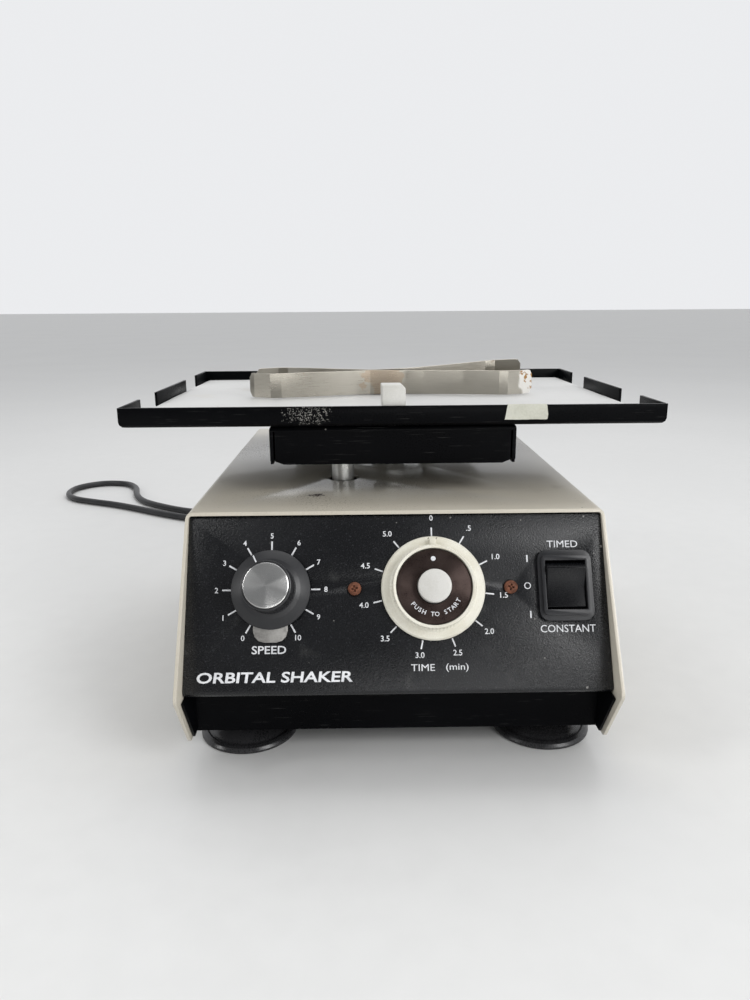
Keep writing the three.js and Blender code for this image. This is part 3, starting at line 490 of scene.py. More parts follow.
def rounded(points, steps=4):
    """An outline from (u, v) points; a third number rounds that corner."""
    spots = []
    for i, point in enumerate(points):
        here = Vector(point[:2])
        if len(point) < 3 or i in (0, len(points) - 1):
            spots.append(here)
            continue
        back = (Vector(points[i - 1][:2]) - here).normalized()
        on = (Vector(points[i + 1][:2]) - here).normalized()
        half = math.acos(max(-1, min(1, back.dot(on)))) / 2
        reach = point[2] / math.tan(half)
        for k in range(steps + 1):
            t = k / steps
            a, b = here + back * reach, here + on * reach
            spots.append(a * (1 - t) ** 2 + here * 2 * t * (1 - t) + b * t ** 2)
    return spots


def lathe(profile, sides=96, wave=None, closed=False):
    """A turned solid about Z from a (radius, height) profile in millimetres.

    wave(radius, height, angle) may change a radius. A closed profile makes a ring.
    """
    bm = bmesh.new()
    rings = []
    for radius, height in profile:
        if radius < 1e-6:
            rings.append([bm.verts.new((0, 0, height * MM))])
            continue
        ring = []
        for k in range(sides):
            a = 2 * math.pi * k / sides
            r = (wave(radius, height, a) if wave else radius) * MM
            ring.append(bm.verts.new((r * math.cos(a), r * math.sin(a), height * MM)))
        rings.append(ring)
    pairs = list(zip(rings, rings[1:])) + ([(rings[-1], rings[0])] if closed else [])
    for low, high in pairs:
        for k in range(sides):
            corners = dict.fromkeys((low[k % len(low)], low[(k + 1) % len(low)],
                                     high[(k + 1) % len(high)], high[k % len(high)]))
            if len(corners) > 2:
                bm.faces.new(list(corners))
    return as_mesh(bm, "turned")


def placed(mesh, matrix):
    mesh.transform(matrix)
    return mesh


def cut_by(mesh, tool):
    holder = bpy.data.objects.new("tool", tool)
    bpy.context.collection.objects.link(holder)
    cut = {"object": holder, "operation": "DIFFERENCE", "solver": "EXACT"}
    done = with_modifiers(mesh, ("BOOLEAN", cut))
    bpy.data.objects.remove(holder)
    return done


def bar(bm, low, high, matrix=Matrix()):
    """Adds a box between two corners, in metres, to a mesh that is being built."""
    size = Vector(high) - Vector(low)
    middle = (Vector(high) + Vector(low)) / 2
    bmesh.ops.create_cube(
        bm, size=1, matrix=matrix @ Matrix.Translation(middle) @ Matrix.Diagonal((*size, 1)))


def joined(meshes, name):
    bm = bmesh.new()
    for mesh in meshes:
        bm.from_mesh(mesh)
    mesh = bpy.data.meshes.new(name)
    bm.to_mesh(mesh)
    bm.free()
    return mesh


def swept(sections):
    """A closed skin over rings of points that all have the same count."""
    bm = bmesh.new()
    rings = [[bm.verts.new(p) for p in ring] for ring in sections]
    for low, high in zip(rings, rings[1:]):
        for k in range(len(low)):
            j = (k + 1) % len(low)
            bm.faces.new((low[k], low[j], high[j], high[k]))
    bm.faces.new(rings[0])
    bm.faces.new(rings[-1])
    return as_mesh(bm, "swept")


def thin_solid(bm, grids):
    """Faces over two grids of points and round their rims, which closes them into one sheet."""
    rows, columns = len(grids[0]) - 1, len(grids[0][0]) - 1
    for grid in grids:
        for j in range(rows):
            for i in range(columns):
                bm.faces.new((grid[j][i], grid[j][i + 1], grid[j + 1][i + 1], grid[j + 1][i]))
    a, b = grids
    for j in (0, rows):
        for i in range(columns):
            bm.faces.new((a[j][i], a[j][i + 1], b[j][i + 1], b[j][i]))
    for i in (0, columns):
        for j in range(rows):
            bm.faces.new((a[j][i], a[j + 1][i], b[j + 1][i], b[j][i]))


# ---------------------------------------------------------------- mains cord, its coil and plug
CORD_RADIUS = 0.0034
FLOOR_Z = 0.0035                    # height of the cord's middle where it lies on the floor
COIL_LIFT = 0.0002                  # how much higher the lower layer of turns lies
CORD_ROUTE = [
    (-0.062, 0.138, 0.032), (-0.062, 0.155, 0.032), (-0.062, 0.171, 0.032), (-0.0628, 0.1845, 0.0286),
    (-0.0648, 0.197, 0.0204), (-0.069, 0.209, 0.0108), (-0.0755, 0.221, 0.0048), (-0.086, 0.237, FLOOR_Z),
    (-0.106, 0.257, FLOOR_Z), (-0.136, 0.275, FLOOR_Z), (-0.170, 0.290, FLOOR_Z), (-0.209, 0.308, FLOOR_Z),
    (-0.240, 0.326, FLOOR_Z), (-0.270, 0.346, FLOOR_Z), (-0.300, 0.364, FLOOR_Z), (-0.328, 0.377, FLOOR_Z),
    (-0.354, 0.392, FLOOR_Z), (-0.370, 0.418, FLOOR_Z), (-0.368, 0.448, FLOOR_Z), (-0.345, 0.468, FLOOR_Z),
    (-0.315, 0.464, FLOOR_Z), (-0.297, 0.442, FLOOR_Z), (-0.287, 0.410, FLOOR_Z), (-0.270, 0.378, FLOOR_Z),
    (-0.244, 0.354, FLOOR_Z), (-0.212, 0.333, FLOOR_Z), (-0.172, 0.318, FLOOR_Z), (-0.128, 0.308, FLOOR_Z),
    (-0.088, 0.3035, FLOOR_Z), (-0.060, 0.3028, FLOOR_Z), (-0.0438, 0.3028, FLOOR_Z),
]
COIL_CENTRE = Vector((-0.020, 0.262, 0))
COIL_TURNS = 4.25
LAYER = 0.0069                      # height of the upper layer of turns over the lower one
# Turns from the start, with the radius of the turn and its height there.
COIL_STAGES = [
    (0, 0.0408, 0), (1, 0.0340, 0), (1.85, 0.0282, 0), (2.0, 0.0272, 0.0024), (2.2, 0.0270, 0.0055),
    (2.55, 0.0272, LAYER), (2.85, 0.0300, LAYER), (3.1, 0.0338, LAYER), (3.55, 0.0342, LAYER),
    (4.25, 0.0408, LAYER),
]
LEAD_OUT_STEPS = 10                 # from the coil to the plug
SMOOTHING_PASSES = 3
PLUG_AT = Vector((0.0174, 0.2304, 0.0081))


def catmull(points, steps):
    """A centripetal Catmull-Rom line through the points, as the CAD cord follows."""
    spots = [Vector(p) for p in points]
    spots = [spots[0] * 2 - spots[1]] + spots + [spots[-1] * 2 - spots[-2]]
    line = []
    for i in range(1, len(spots) - 2):
        p = spots[i - 1:i + 3]
        t = [0.0]
        for a, b in zip(p, p[1:]):
            t.append(t[-1] + max((b - a).length, 1e-6) ** 0.5)
        for k in range(steps):
            u = t[1] + (t[2] - t[1]) * k / steps

            def between(a, b, ta, tb):
                return a * ((tb - u) / (tb - ta)) + b * ((u - ta) / (tb - ta))

            a1, a2, a3 = (between(p[j], p[j + 1], t[j], t[j + 1]) for j in range(3))
            line.append(between(between(a1, a2, t[0], t[2]), between(a2, a3, t[1], t[3]), t[1], t[2]))
    return line + [spots[-2]]


def staged(turn):
    for (t0, r0, z0), (t1, r1, z1) in zip(COIL_STAGES, COIL_STAGES[1:]):
        if turn <= t1:
            share = (turn - t0) / (t1 - t0)
            return r0 + (r1 - r0) * share, z0 + (z1 - z0) * share
    return COIL_STAGES[-1][1:]


def coil_line(steps_per_turn=40):
    line = []
    count = int(COIL_TURNS * steps_per_turn)
    for k in range(1, count + 1):
        turn = k / steps_per_turn
        r, z = staged(turn)
        a = math.pi / 2 - 2 * math.pi * turn
        line.append(COIL_CENTRE + Vector((r * math.cos(a), r * math.sin(a), FLOOR_Z + COIL_LIFT + z)))
    return line


def cord_path():
    free = catmull(CORD_ROUTE, 8)
    coil = coil_line()
    last = coil[-1]
    lead_out = []
    for k in range(1, LEAD_OUT_STEPS + 1):
        t = k / LEAD_OUT_STEPS
        ease = t * t * (3 - 2 * t)
        lead_out.append(Vector((last.x + (PLUG_AT.x - last.x) * ease, last.y + (PLUG_AT.y - last.y) * t,
                                last.z + (PLUG_AT.z - last.z) * ease)))
    join = CORD_ROUTE[-1]
    bridge = [Vector((join[0] + (COIL_CENTRE.x - join[0]) * t, join[1], FLOOR_Z + COIL_LIFT * t))
              for t in (0.25, 0.5, 0.75, 1.0)]
    path = free + bridge + coil + lead_out
    for _ in range(SMOOTHING_PASSES):
        path = path[:1] + [(a + b * 2 + c) / 4 for a, b, c in zip(path, path[1:], path[2:])] + path[-1:]
    return path


def add_cord():
    path = cord_path()
    curve = bpy.data.curves.new("mains_cord", "CURVE")
    curve.dimensions = "3D"
    curve.bevel_depth = CORD_RADIUS
    curve.bevel_resolution = 5
    curve.use_fill_caps = True
    spline = curve.splines.new("POLY")
    spline.points.add(len(path) - 1)
    for point, at in zip(spline.points, path):
        point.co = (*at, 1)
    spline.use_smooth = True
    cord = bpy.data.objects.new("mains_cord", curve)
    bpy.context.collection.objects.link(cord)
    curve.materials.append(LOOKS["cord_rubber"].material)
    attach(cord, "base")
    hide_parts("power_cord", "cord_coil")


def add_cord_tie():
    """A narrow strap round the coil's turns."""
    inner, outer, low, high = 0.0236, 0.0443, 0.00012, 0.0144
    thick, width, cut, bearing = 0.00035, 0.009, 0.003, math.radians(205)
    outline = [(inner + cut, low), (outer - cut, low), (outer, low + cut), (outer, high - cut),
               (outer - cut, high), (inner + cut, high), (inner, high - cut), (inner, low + cut)]
    middle = Vector(((inner + outer) / 2, (low + high) / 2))
    turn = Matrix.Translation(COIL_CENTRE) @ Matrix.Rotation(bearing, 4, "Z")

    def ring(side, shrink):
        spots = []
        for r, z in outline:
            towards = (middle - Vector((r, z))).normalized() * shrink
            spots.append(turn @ Vector((r + towards.x, side, z + towards.y)))
        return spots

    bm = bmesh.new()
    loops = [[bm.verts.new(p) for p in ring(side, shrink)]
             for side, shrink in ((-width / 2, 0), (width / 2, 0), (width / 2, thick), (-width / 2, thick))]
    for a, b in zip(loops, loops[1:] + loops[:1]):
        for k in range(len(a)):
            j = (k + 1) % len(a)
            bm.faces.new((a[k], a[j], b[j], b[k]))
    return piece("cord_tie", as_mesh(bm, "cord_tie"), TIE, "base", slot="cord_rubber")


# Millimetres along the grip, with its half width and half height there.
GRIP_STATIONS = [(0, 5.4, 6.2), (3, 5.8, 6.8), (22, 9.4, 7.6), (27, 10.9, 7.8), (32, 11.4, 7.9),
                 (34, 10.9, 7.4)]
GRIP_SECTIONS, GRIP_CORNERS = 60, 40
GRIP_SQUARENESS = 0.55              # 1 gives an oval section, less a squarer one
RIBS_FROM, RIBS_TO, RIBS, RIB_DEPTH = 4, 19, 5, 0.35
BLADE_X, BLADE_HALF, BLADE_REACH, BLADE_LOW, BLADE_HIGH = 0.0063, 0.0008, 0.0165, 0.0022, 0.0086
EARTH_Z = 0.0116


def grip_size(along):
    for (s0, w0, h0), (s1, w1, h1) in zip(GRIP_STATIONS, GRIP_STATIONS[1:]):
        if along <= s1:
            t = (along - s0) / (s1 - s0)
            wide, tall = w0 + (w1 - w0) * t, h0 + (h1 - h0) * t
            break
    if RIBS_FROM < along < RIBS_TO:
        turn = (along - RIBS_FROM) / (RIBS_TO - RIBS_FROM) * RIBS * 2 * math.pi
        ripple = RIB_DEPTH * math.cos(turn) - RIB_DEPTH
        wide, tall = wide + ripple, tall + ripple
    return wide, tall


def add_plug():
    """Moulded grip with finger ribs, two flat blades and a round earth pin, pointing to -Y."""
    sections = []
    for k in range(GRIP_SECTIONS + 1):
        along = GRIP_STATIONS[-1][0] * k / GRIP_SECTIONS
        wide, tall = grip_size(along)
        ring = []
        for j in range(GRIP_CORNERS):
            a = 2 * math.pi * j / GRIP_CORNERS
            c, s = math.cos(a), math.sin(a)
            ring.append(Vector((PLUG_AT.x + wide * MM * math.copysign(abs(c) ** GRIP_SQUARENESS, c),
                                PLUG_AT.y - along * MM,
                                PLUG_AT.z + tall * MM * math.copysign(abs(s) ** GRIP_SQUARENESS, s))))
        sections.append(ring)
    grip = piece("plug_grip", swept(sections), LOOKS["cord_rubber"], "base", ["plug"], "cord_rubber")
    bm = bmesh.new()
    front = PLUG_AT.y - 0.0335
    for side in (-BLADE_X, BLADE_X):
        x = PLUG_AT.x + side
        bar(bm, (x - BLADE_HALF, front - BLADE_REACH, BLADE_LOW), (x + BLADE_HALF, front, BLADE_HIGH))
    blades = with_modifiers(as_mesh(bm, "blades"), ("BEVEL", {"width": 0.0003, "segments": 2}))
    forward = Matrix.Rotation(math.radians(90), 4, "X")
    earth = placed(lathe(rounded([(0, 0), (2.4, 0), (2.4, 19.4, 1.6), (0, 19.4)]), 32),
                   Matrix.Translation((PLUG_AT.x, front, EARTH_Z)) @ forward)
    pins = piece("plug_pins", joined([blades, earth], "plug_pins"), BRASS, "base")
    return [grip, pins]


RELIEF_RIBS = 6


def add_strain_relief():
    low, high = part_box("strain_relief")
    middle = Vector(((low.x + high.x) / 2, low.y, (low.z + high.z) / 2))
    profile = [(4.0, 0), (6.8, 0), (6.8, 6.3), (9.0, 6.3), (9.0, 8.0), (8.2, 8.7), (6.3, 9.4)]
    for k in range(RELIEF_RIBS):
        start = 10.0 + k * 3.15
        radius = 6.2 - 1.1 * (k / RELIEF_RIBS)
        profile += [(radius, start), (radius - 0.1, start + 1.7), (radius - 0.95, start + 1.9),
                    (radius - 0.95, start + 2.9)]
    profile += [(4.9, 29.2), (4.7, 30.0), (4.0, 30.0)]
    matrix = Matrix.Translation(middle) @ Matrix.Rotation(math.radians(-90), 4, "X")
    return shown("strain_relief", placed(lathe(profile, 48, closed=True), matrix))


# ---------------------------------------------------------------- lettering and dial marks
INK_LOW, INK_HIGH = 0.00004, 0.00012


def lettering(words, height, matrix, width=None, bold=0.0):
    """Letters in the built-in font, as a thin solid fitted to a height and perhaps a width."""
    font = bpy.data.curves.new("letters", "FONT")
    font.body = words
    font.extrude = 0.05
    font.offset = bold
    font.resolution_u = 3
    holder = bpy.data.objects.new("letters", font)
    bpy.context.collection.objects.link(holder)
    bpy.context.view_layer.update()
    mesh = bpy.data.meshes.new_from_object(holder.evaluated_get(bpy.context.evaluated_depsgraph_get()))
    bpy.data.objects.remove(holder)
    xs = [v.co.x for v in mesh.vertices]
    ys = [v.co.y for v in mesh.vertices]
    tall = height / (max(ys) - min(ys))
    wide = width / (max(xs) - min(xs)) if width else tall
    middle = Vector(((max(xs) + min(xs)) / 2, (max(ys) + min(ys)) / 2, 0))
    for vertex in mesh.vertices:
        at = vertex.co - middle
        out = INK_HIGH if at.z > 0 else INK_LOW
        vertex.co = matrix @ Vector((at.x * wide, at.y * tall, out))
    return mesh


def ink_bar(width, height, matrix):
    bm = bmesh.new()
    bar(bm, (-width / 2, -height / 2, INK_LOW), (width / 2, height / 2, INK_HIGH), matrix)
    return as_mesh(bm, "bar")


def ink_dot(radius, matrix):
    low, high, rim = INK_LOW / MM, INK_HIGH / MM, radius / MM
    return placed(lathe([(0, low), (rim, low), (rim, high), (0, high)], 32), matrix)


def round_dial(centre, clockwise, radius, out=0.0):
    """A place at a clockwise angle from straight up, on a circle round a dial's centre."""
    a = math.radians(clockwise)
    return on_panel(centre.x + radius * math.sin(a), centre.y + radius * math.cos(a), out)


DIAL_MARKS = 11                     # numbers round each dial
SPEED_FIRST, SPEED_STEP, TIME_STEP = -150, 30, 32.1      # degrees, clockwise from straight up
TITLE_SLANT = Matrix(((1, 0.12, 0, 0), (0, 1, 0, 0), (0, 0, 1, 0), (0, 0, 0, 1)))
PANEL_WORDS = [
    # words, height, dial, across and up from it, width, boldness
    ("SPEED", 0.0038, KNOB, -0.0006, -0.0284, 0.0163, 0.012),
    ("TIME", 0.0031, TIMER, -0.0058, -0.0374, 0.0113, 0.0),
    ("(min)", 0.0040, TIMER, 0.0104, -0.0376, 0.0106, 0.0),
    ("TIMED", 0.0033, SWITCH, 0, 0.0202, 0.0150, 0.0),
    ("CONSTANT", 0.0035, SWITCH, 0.0003, -0.0206, 0.0264, 0.0),
]


def tick_at(centre, angle, radius, size):
    upright = Matrix.Rotation(-math.radians(angle), 4, "Z")
    return ink_bar(*size, round_dial(centre, angle, radius) @ upright)


def panel_markings():
    marks = []
    for k in range(DIAL_MARKS):
        angle = SPEED_FIRST + SPEED_STEP * k
        marks.append(lettering(str(k), 0.0026, round_dial(KNOB, angle, 0.0263), bold=0.012))
        marks.append(tick_at(KNOB, angle, 0.0214, (0.00075, 0.0044)))
    for k in range(DIAL_MARKS):
        angle = TIME_STEP * k
        words = "0" if k == 0 else ".5" if k == 1 else f"{k / 2:.1f}"
        # the lower numbers stand nearer to the ring, clear of the words below it
        away = 0.0344 - 0.0021 * max(0, -math.cos(math.radians(angle))) ** 2
        marks.append(lettering(words, 0.0027, round_dial(TIMER, angle, away), bold=0.01))
        marks.append(tick_at(TIMER, angle, 0.0275, (0.0007, 0.0042)))
    for words, height, dial, across, up, width, bold in PANEL_WORDS:
        marks.append(lettering(words, height, on_panel(dial.x + across, dial.y + up), width, bold))
    for across, up in ((-0.0176, 0.0132), (-0.0172, -0.0138)):
        marks.append(ink_bar(0.0007, 0.0034, on_panel(SWITCH.x + across, SWITCH.y + up)))
    marks.append(lettering("O", 0.0033, on_panel(SWITCH.x - 0.0180, SWITCH.y), 0.0033))
    title = on_panel(-0.0580, -0.0410) @ TITLE_SLANT
    marks.append(lettering("ORBITAL SHAKER", 0.0050, title, 0.0735, 0.022))
    return piece("panel_markings", joined(marks, "panel_markings"), INK, "base", smooth=False)


# ---------------------------------------------------------------- dials, knob and button
FLUTES, FLUTE_DEPTH = 60, 0.32
SCALLOPS, SCALLOP_DEPTH = 72, 0.38


def grooved(radius, angle, count, depth):
    return radius - depth * (0.5 + 0.5 * math.cos(count * angle))


def add_knob():
    base = on_panel(KNOB.x, KNOB.y, 0, KNOB_TURN)

    def flutes(radius, height, angle):
        return grooved(radius, angle, FLUTES, FLUTE_DEPTH if 6.6 < height < 19.2 and radius > 11 else 0)

    body = rounded([
        (0, 1.4), (19, 1.4), (19, 2.7, 0.4), (14.4, 5.4, 1.5), (12.2, 6.3, 0.8), (12.05, 6.7),
        (11.75, 19.1), (11.6, 20.0, 0.5), (10.9, 20.3), (10.9, 19.4), (0, 19.4),
    ])
    shown("speed_knob", placed(lathe(body, 360, flutes), base))
    cap = rounded([(0, 19.7), (10.5, 19.7), (10.5, 20.75, 0.3), (9.7, 21.0), (0, 20.9)])
    shown("speed_knob_cap", placed(lathe(cap, 128), base))
    bm = bmesh.new()
    skirt_slope = Matrix.Rotation(-math.atan2(2.7, 4.6), 4, "X")
    lean = base @ Matrix.Translation((0, 0.0165, 0.00418)) @ skirt_slope
    bar(bm, (-0.00035, -0.0024, -0.0002), (0.00035, 0.0022, 0.00018), lean)
    piece("knob_pointer_line", as_mesh(bm, "knob_pointer_line"), INK, "speed_dial", smooth=False)


DISC_WORDS, DISC_TOP = "PUSH TO START", 0.008
WORDS_SPAN, WORDS_LEAN = 110, 4     # degrees round the disc, and how far they sit off the bottom


def add_timer():
    base = on_panel(TIMER.x, TIMER.y)

    def scallops(radius, height, angle):
        return grooved(radius, angle, SCALLOPS, SCALLOP_DEPTH if 3.7 < height < 9.0 and radius > 19 else 0)

    ring = rounded([
        (8.0, 0.6), (24.6, 0.6), (25.0, 1.0), (25.0, 2.0, 0.5), (24.2, 2.9, 0.6), (21.0, 3.2, 0.8),
        (20.1, 3.9, 0.3), (20.1, 8.8, 0.5), (19.4, 9.6, 0.4), (18.2, 9.3, 0.3), (18.2, 2.6), (8.0, 2.2),
    ])
    grip = placed(lathe(ring, 432, scallops, closed=True), base)
    bm = bmesh.new()
    bar(bm, (-0.0015, 0.0188, 0.003), (0.0015, 0.0232, 0.0064), base)
    rib = with_modifiers(as_mesh(bm, "rib"), ("BEVEL", {"width": 0.0005, "segments": 3}))
    shown("timer_ring", joined([grip, rib], "timer_ring"))
    flecks = []
    for x in (-0.0019, 0.0021):
        place = base @ Matrix.Translation((x, 0.0237, 0.00285)) @ Matrix.Rotation(-0.5, 4, "Z")
        flecks.append(ink_bar(0.0004, 0.0011, place))
    piece("timer_ring_marks", joined(flecks, "marks"), DARK_INK, "timer_dial", smooth=False)
    disc = rounded([(8.4, 3.0), (10.4, 3.0), (10.4, 6.4), (17.8, 6.8), (17.8, 8.0, 0.25), (8.4, 8.0)])
    shown("timer_disc", placed(lathe(disc, 160, closed=True), base))
    letters = [ink_dot(0.00115, base @ Matrix.Translation((-0.0002, 0.0132, DISC_TOP)))]
    for k, letter in enumerate(DISC_WORDS):
        if letter == " ":
            continue
        angle = 180 + WORDS_SPAN / 2 - WORDS_LEAN - WORDS_SPAN * k / (len(DISC_WORDS) - 1)
        upright = Matrix.Rotation(-math.radians(angle - 180), 4, "Z")
        place = round_dial(TIMER, angle, 0.0130, DISC_TOP) @ upright
        letters.append(lettering(letter, 0.0021, place, bold=0.012))
    piece("timer_disc_marks", joined(letters, "disc_marks"), INK, "timer_pointer", smooth=False)
    button = rounded([(0, -22), (3.2, -22), (3.2, 5.6), (7.9, 5.6), (7.9, 11.9, 0.7), (6.6, 12.25),
                      (0, 12.3)])
    shown("start_button", placed(lathe(button, 96), base))


def screw_mesh(head, height, shank, length):
    """A pan-head screw, its head's underside at z = 0, with a cross recess."""
    profile = rounded([(0, -length), (shank, -length), (shank, 0), (head, 0), (head, height * 0.55, 0.4),
                       (head * 0.62, height, 0.8), (0, height)])
    bm = bmesh.new()
    reach, thin = head * 0.5 * MM, head * 0.13 * MM
    for turn in (0, math.pi / 2):
        bar(bm, (-reach, -thin, (height - 1.1) * MM), (reach, thin, (height + 1) * MM),
            Matrix.Rotation(turn, 4, "Z"))
    tool = with_modifiers(as_mesh(bm, "cross"), ("REMESH", {"mode": "SHARP", "octree_depth": 5}))
    return cut_by(lathe(profile, 48), tool)


def add_panel_screws():
    for side, turn in (("left", 0.2), ("right", -0.25)):
        node = f"timer_screw_{side}"
        low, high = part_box(node)
        matrix = on_panel((low.x + high.x) / 2, TIMER.y, 0.3 * MM, turn)
        shown(node, placed(screw_mesh(3.2, 1.9, 1.5, 8), matrix))


# ---------------------------------------------------------------- feet and case screws
FOOT_PROFILE = [
    (3.1, 5.3), (19.8, 1.4), (23.2, 0), (24.6, 0.0, 0.3), (25.4, 0.5, 0.4), (25.4, 1.5, 0.4),
    (24.4, 2.9, 0.8), (22.6, 3.6, 0.6), (21.6, 3.1, 0.3), (20.6, 3.5, 0.4), (19.4, 4.4, 1.2), (14, 7.4, 3),
    (10.8, 9.6, 1.5), (9.6, 13.3), (3.1, 13.3),
]


def add_feet():
    for place in ("front_left", "front_right", "rear_left", "rear_right"):
        low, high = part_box(f"foot_{place}")
        middle = Matrix.Translation(((low.x + high.x) / 2, (low.y + high.y) / 2, low.z))
        shown(f"foot_{place}", placed(lathe(rounded(FOOT_PROFILE), 96, closed=True), middle))
        bolt = middle @ Matrix.Translation((0, 0, 4.4 * MM)) @ Matrix.Rotation(math.pi, 4, "X")
        shown(f"foot_screw_{place}", placed(screw_mesh(4.4, 1.9, 2.7, 13), bolt))
    for side, sign in (("left", -1), ("right", 1)):
        for where in ("front", "rear"):
            node = f"cover_screw_{side}_{where}"
            low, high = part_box(node)
            seat = sign * (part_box("top_cover")[1].x + 0.3 * MM)
            matrix = (Matrix.Translation((seat, (low.y + high.y) / 2, (low.z + high.z) / 2))
                      @ Matrix.Rotation(sign * math.pi / 2, 4, "Y") @ Matrix.Rotation(0.6, 4, "Z"))
            shown(node, placed(screw_mesh(3.6, 2.0, 1.6, 6), matrix))


# ---------------------------------------------------------------- strips, mat and tape
FRONT_STRIP = [(-86, -12.5), (-83, -15.5), (-72.5, -21), (-66, -20.5), (-40, -12), (-20, -5.4), (-11, -3.2),
               (11, -3.2), (24, -4.5), (48, -8), (70, -12.6), (75.5, -12.8), (86, -8.5), (92, -4.6)]
REAR_STRIP = [(-86, 17), (-72.5, 25.4), (-66, 25), (-40, 15.5), (-20, 7), (-11, 3.2), (11, 3.2),
              (24, 5.6), (48, 13), (66, 19), (72.5, 19.4), (88, 12)]
STRIP_SHEET, STRIP_STEP, STRIP_CORNER = 0.9, 1.6, 3.2    # millimetres
STRIP_RIM, STRIP_WAVER = 0.00012, 0.0001
STRIP_SHARP = math.radians(7)
REAR_LIFT, LIFT_FROM, LIFT_OVER = 5.5, 10, 98            # how the rear strip rises towards +X


def level(x):
    return 0.0


def lifted(x):
    return REAR_LIFT * max(0, (x + LIFT_FROM) / LIFT_OVER) ** 1.3


def add_strip(node, line, rise):
    """A thin metal strip on edge along a line, its ends rounded off and one end perhaps raised."""
    low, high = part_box(node)
    corners = [Vector(p) for p in line]
    spots = []
    for a, b in zip(corners, corners[1:]):
        steps = max(2, int((b - a).length / STRIP_STEP))
        spots += [a.lerp(b, k / steps) for k in range(steps)]
    spots.append(corners[-1])
    travelled = [0.0]
    for a, b in zip(spots, spots[1:]):
        travelled.append(travelled[-1] + (b - a).length * MM)
    corner = STRIP_CORNER * MM
    sections = []
    for i, spot in enumerate(spots):
        ahead = (spots[min(i + 1, len(spots) - 1)] - spots[max(i - 1, 0)]).normalized()
        side = Vector((-ahead.y, ahead.x)) * STRIP_SHEET / 2
        from_end = min(travelled[i], travelled[-1] - travelled[i])
        inset = corner - math.sqrt(max(0, corner ** 2 - max(0, corner - from_end) ** 2))
        inset += STRIP_WAVER * noise.noise(Vector((spot.x * 0.05, 3.1, 0)))
        up = rise(spot.x) * MM
        z0, z1 = low.z + inset + up, high.z - inset * 0.9 + up
        ring = []
        for across, z in ((1, z0 + STRIP_RIM), (1, z1 - STRIP_RIM), (0.6, z1), (-0.6, z1),
                          (-1, z1 - STRIP_RIM), (-1, z0 + STRIP_RIM), (-0.6, z0), (0.6, z0)):
            at = spot + side * across
            ring.append(PLATFORM_AT.xy.to_3d() + Vector((at.x * MM, at.y * MM, z)))
        sections.append(ring)
    shown(node, swept(sections), sharp=STRIP_SHARP)


MAT_COLUMNS, MAT_ROWS = 120, 92
CURL_REACH, CURL_HEIGHT = 0.02, 0.0035
MAT_EDGE, MAT_EDGE_DROP = 0.0008, 0.0007


def add_mat():
    """The loose white mat: a thin sheet with faint wrinkles and one lifted corner."""
    low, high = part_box("platform_mat")
    curl_at = Vector((high.x - 0.006, low.y + 0.005))

    def top(x, y):
        wave = noise.noise(Vector((x * 22, y * 30, 0.4))) * 0.00022
        wave += noise.noise(Vector((x * 70, y * 60, 4.2))) * 0.00008
        edge = min(x - low.x, high.x - x, y - low.y, high.y - y)
        lift = max(0, 1 - (Vector((x, y)) - curl_at).length / CURL_REACH) ** 2 * CURL_HEIGHT
        return high.z - 0.0002 + wave + lift - MAT_EDGE_DROP * max(0, 1 - edge / MAT_EDGE) ** 2

    bm = bmesh.new()
    grids = []
    for upper in (True, False):
        grid = []
        for j in range(MAT_ROWS + 1):
            y = low.y + (high.y - low.y) * j / MAT_ROWS
            row = []
            for i in range(MAT_COLUMNS + 1):
                x = low.x + (high.x - low.x) * i / MAT_COLUMNS
                row.append(bm.verts.new((x, y, top(x, y) if upper else low.z + 0.00005)))
            grid.append(row)
        grids.append(grid)
    thin_solid(bm, grids)
    shown("platform_mat", as_mesh(bm, "mat"))


TAPE_GAP, TAPE_THICK, TAPE_COLUMNS = 0.00012, 0.00016, 16
# The tape's two torn edges, in x, at each step of its path over the lip.
TAPE_LEFT = [0.0578, 0.0577, 0.0578, 0.0579, 0.0577, 0.0570, 0.0566, 0.0562]
TAPE_RIGHT = [0.0770, 0.0772, 0.0774, 0.0777, 0.0779, 0.0786, 0.0783, 0.0776]


def add_tape():
    """A torn piece of masking tape folded over the front lip."""
    low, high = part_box("platform_tray")
    front, top, gap = low.y, high.z, TAPE_GAP
    inner = front + 1.5 * MM
    path = [(inner + gap, MAT_TOP + 0.0008), (inner + gap, top - 0.0002), (inner, top + gap),
            (front, top + gap), (front - gap, top - 0.0004), (front - gap, 0.1655), (front - gap, 0.1632),
            (front - gap, low.z + 0.0029)]
    last = len(path) - 1
    bm = bmesh.new()
    grids = []
    for layer in (0, 1):
        grid = []
        for k, (y, z) in enumerate(path):
            ahead = Vector(path[min(k + 1, last)]) - Vector(path[max(k - 1, 0)])
            out = Vector((ahead.y, -ahead.x)).normalized() * TAPE_THICK * layer
            row = []
            for i in range(TAPE_COLUMNS + 1):
                x = TAPE_LEFT[k] + (TAPE_RIGHT[k] - TAPE_LEFT[k]) * i / TAPE_COLUMNS
                ragged = 0.0003 * noise.noise(Vector((x * 700, k, 0))) if k in (0, last) else 0
                row.append(bm.verts.new((x, y + out.x, z + out.y + abs(ragged))))
            grid.append(row)
        grids.append(grid)
    thin_solid(bm, grids)
    piece("masking_tape", as_mesh(bm, "tape"), TAPE, "platform")


# ---------------------------------------------------------------- drive parts seen under the platform
IDLER_POST = [(0, 94), (4, 94), (4, 113.9), (6.5, 113.9), (6.5, 148, 0.6), (0, 148)]
IDLER_PIN = [(0, 147), (3, 147), (3, 156, 0.4), (0, 156)]


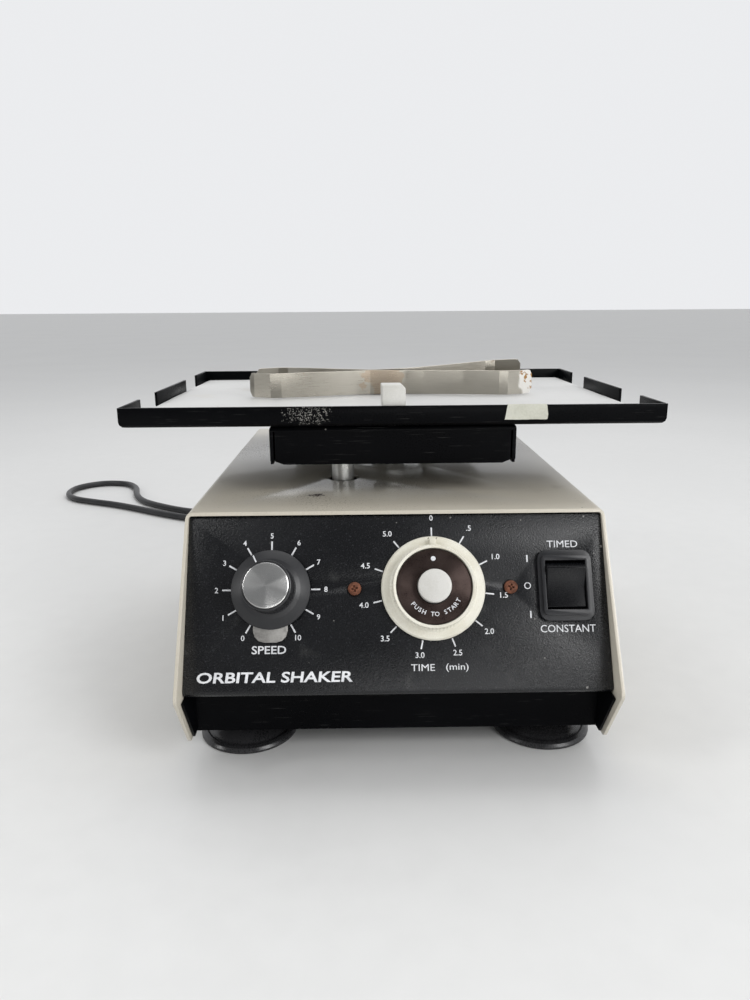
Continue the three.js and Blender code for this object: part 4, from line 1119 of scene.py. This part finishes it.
def add_drive():
    pin_offset = PLATFORM_AT.y - JOINTS["crank_spin"]["pos_m"][1]
    for place in ("front", "rear"):
        at = Vector(JOINTS[f"idler_{place}_spin"]["pos_m"])
        post = placed(lathe(rounded(IDLER_POST), 64), Matrix.Translation((at.x, at.y, 0)))
        pin = placed(lathe(rounded(IDLER_PIN), 48), Matrix.Translation((at.x, at.y + pin_offset, 0)))
        node = f"idler_post_{place}"
        shown(node, joined([post, pin], node))


def add_panel_fold():
    """A dark folded strip behind the panel's top edge that stands for no real part: painted shade that keeps the
    gap between panel and cover dark.
    """
    outline = rounded([(-0.102, 0.115, 0.001), (-0.097, 0.115), (-0.097, 0.1161), (-0.1009, 0.1161, 0.0006),
                       (-0.1009, 0.1202), (-0.102, 0.1202)])
    ends = [[Vector((x, y, z)) for y, z in outline] for x in (-0.098, 0.098)]
    piece("gap_shade_fold", swept(ends), LOOKS["black_sheet"], "base")


# ---------------------------------------------------------------- build the scene
FLOOR_HALF = 24                     # metres each way from the middle


def add_floor():
    bm = bmesh.new()
    bmesh.ops.create_grid(bm, x_segments=24, y_segments=24, size=FLOOR_HALF)
    floor = bpy.data.objects.new("floor", as_mesh(bm, "floor"))
    bpy.context.collection.objects.link(floor)
    floor.data.materials.append(FLOOR_LOOK.material)


add_camera()
add_light()
add_floor()

relief = add_strain_relief()
plug_pieces = add_plug()
tie = add_cord_tie()
add_cord()

EDGES = {    # how far each part's edges are rounded, in millimetres, and in how many steps
    2: {"top_cover": 0.4, "chassis_pan": 0.3, "front_panel": 0.4, "rear_panel": 0.3,
        "platform_tray": 0.35, "drive_tray": 0.35},
    3: {"rocker": 0.6, "switch_body": 0.45, "dial_stop_tab": 0.15, "spacer_block": 0.5,
        "strip_clamp": 0.3, "crank_head": 0.3, "deck_bridge": 0.4, "fuse_holder": 0.3},
}
# The rocker takes the darker copy of the black plastic, which is painted shade.
OWN_LOOK = {"rocker": {"look": ROCKER_SHADED}}
for segments, parts in EDGES.items():
    for part, edge in parts.items():
        refine(part, edge * MM, segments, **OWN_LOOK.get(part, {}))

add_feet()
add_panel_fold()
add_panel_screws()
add_knob()
add_timer()
panel_markings()
add_strip("spring_strip_front", FRONT_STRIP, level)
add_strip("spring_strip_rear", REAR_STRIP, lifted)
add_mat()
add_tape()
add_drive()

for node, obj in NODES.items():
    obj.data.materials.clear()
    obj.data.materials.append(LOOKS[SLOT_OF[node]].material)
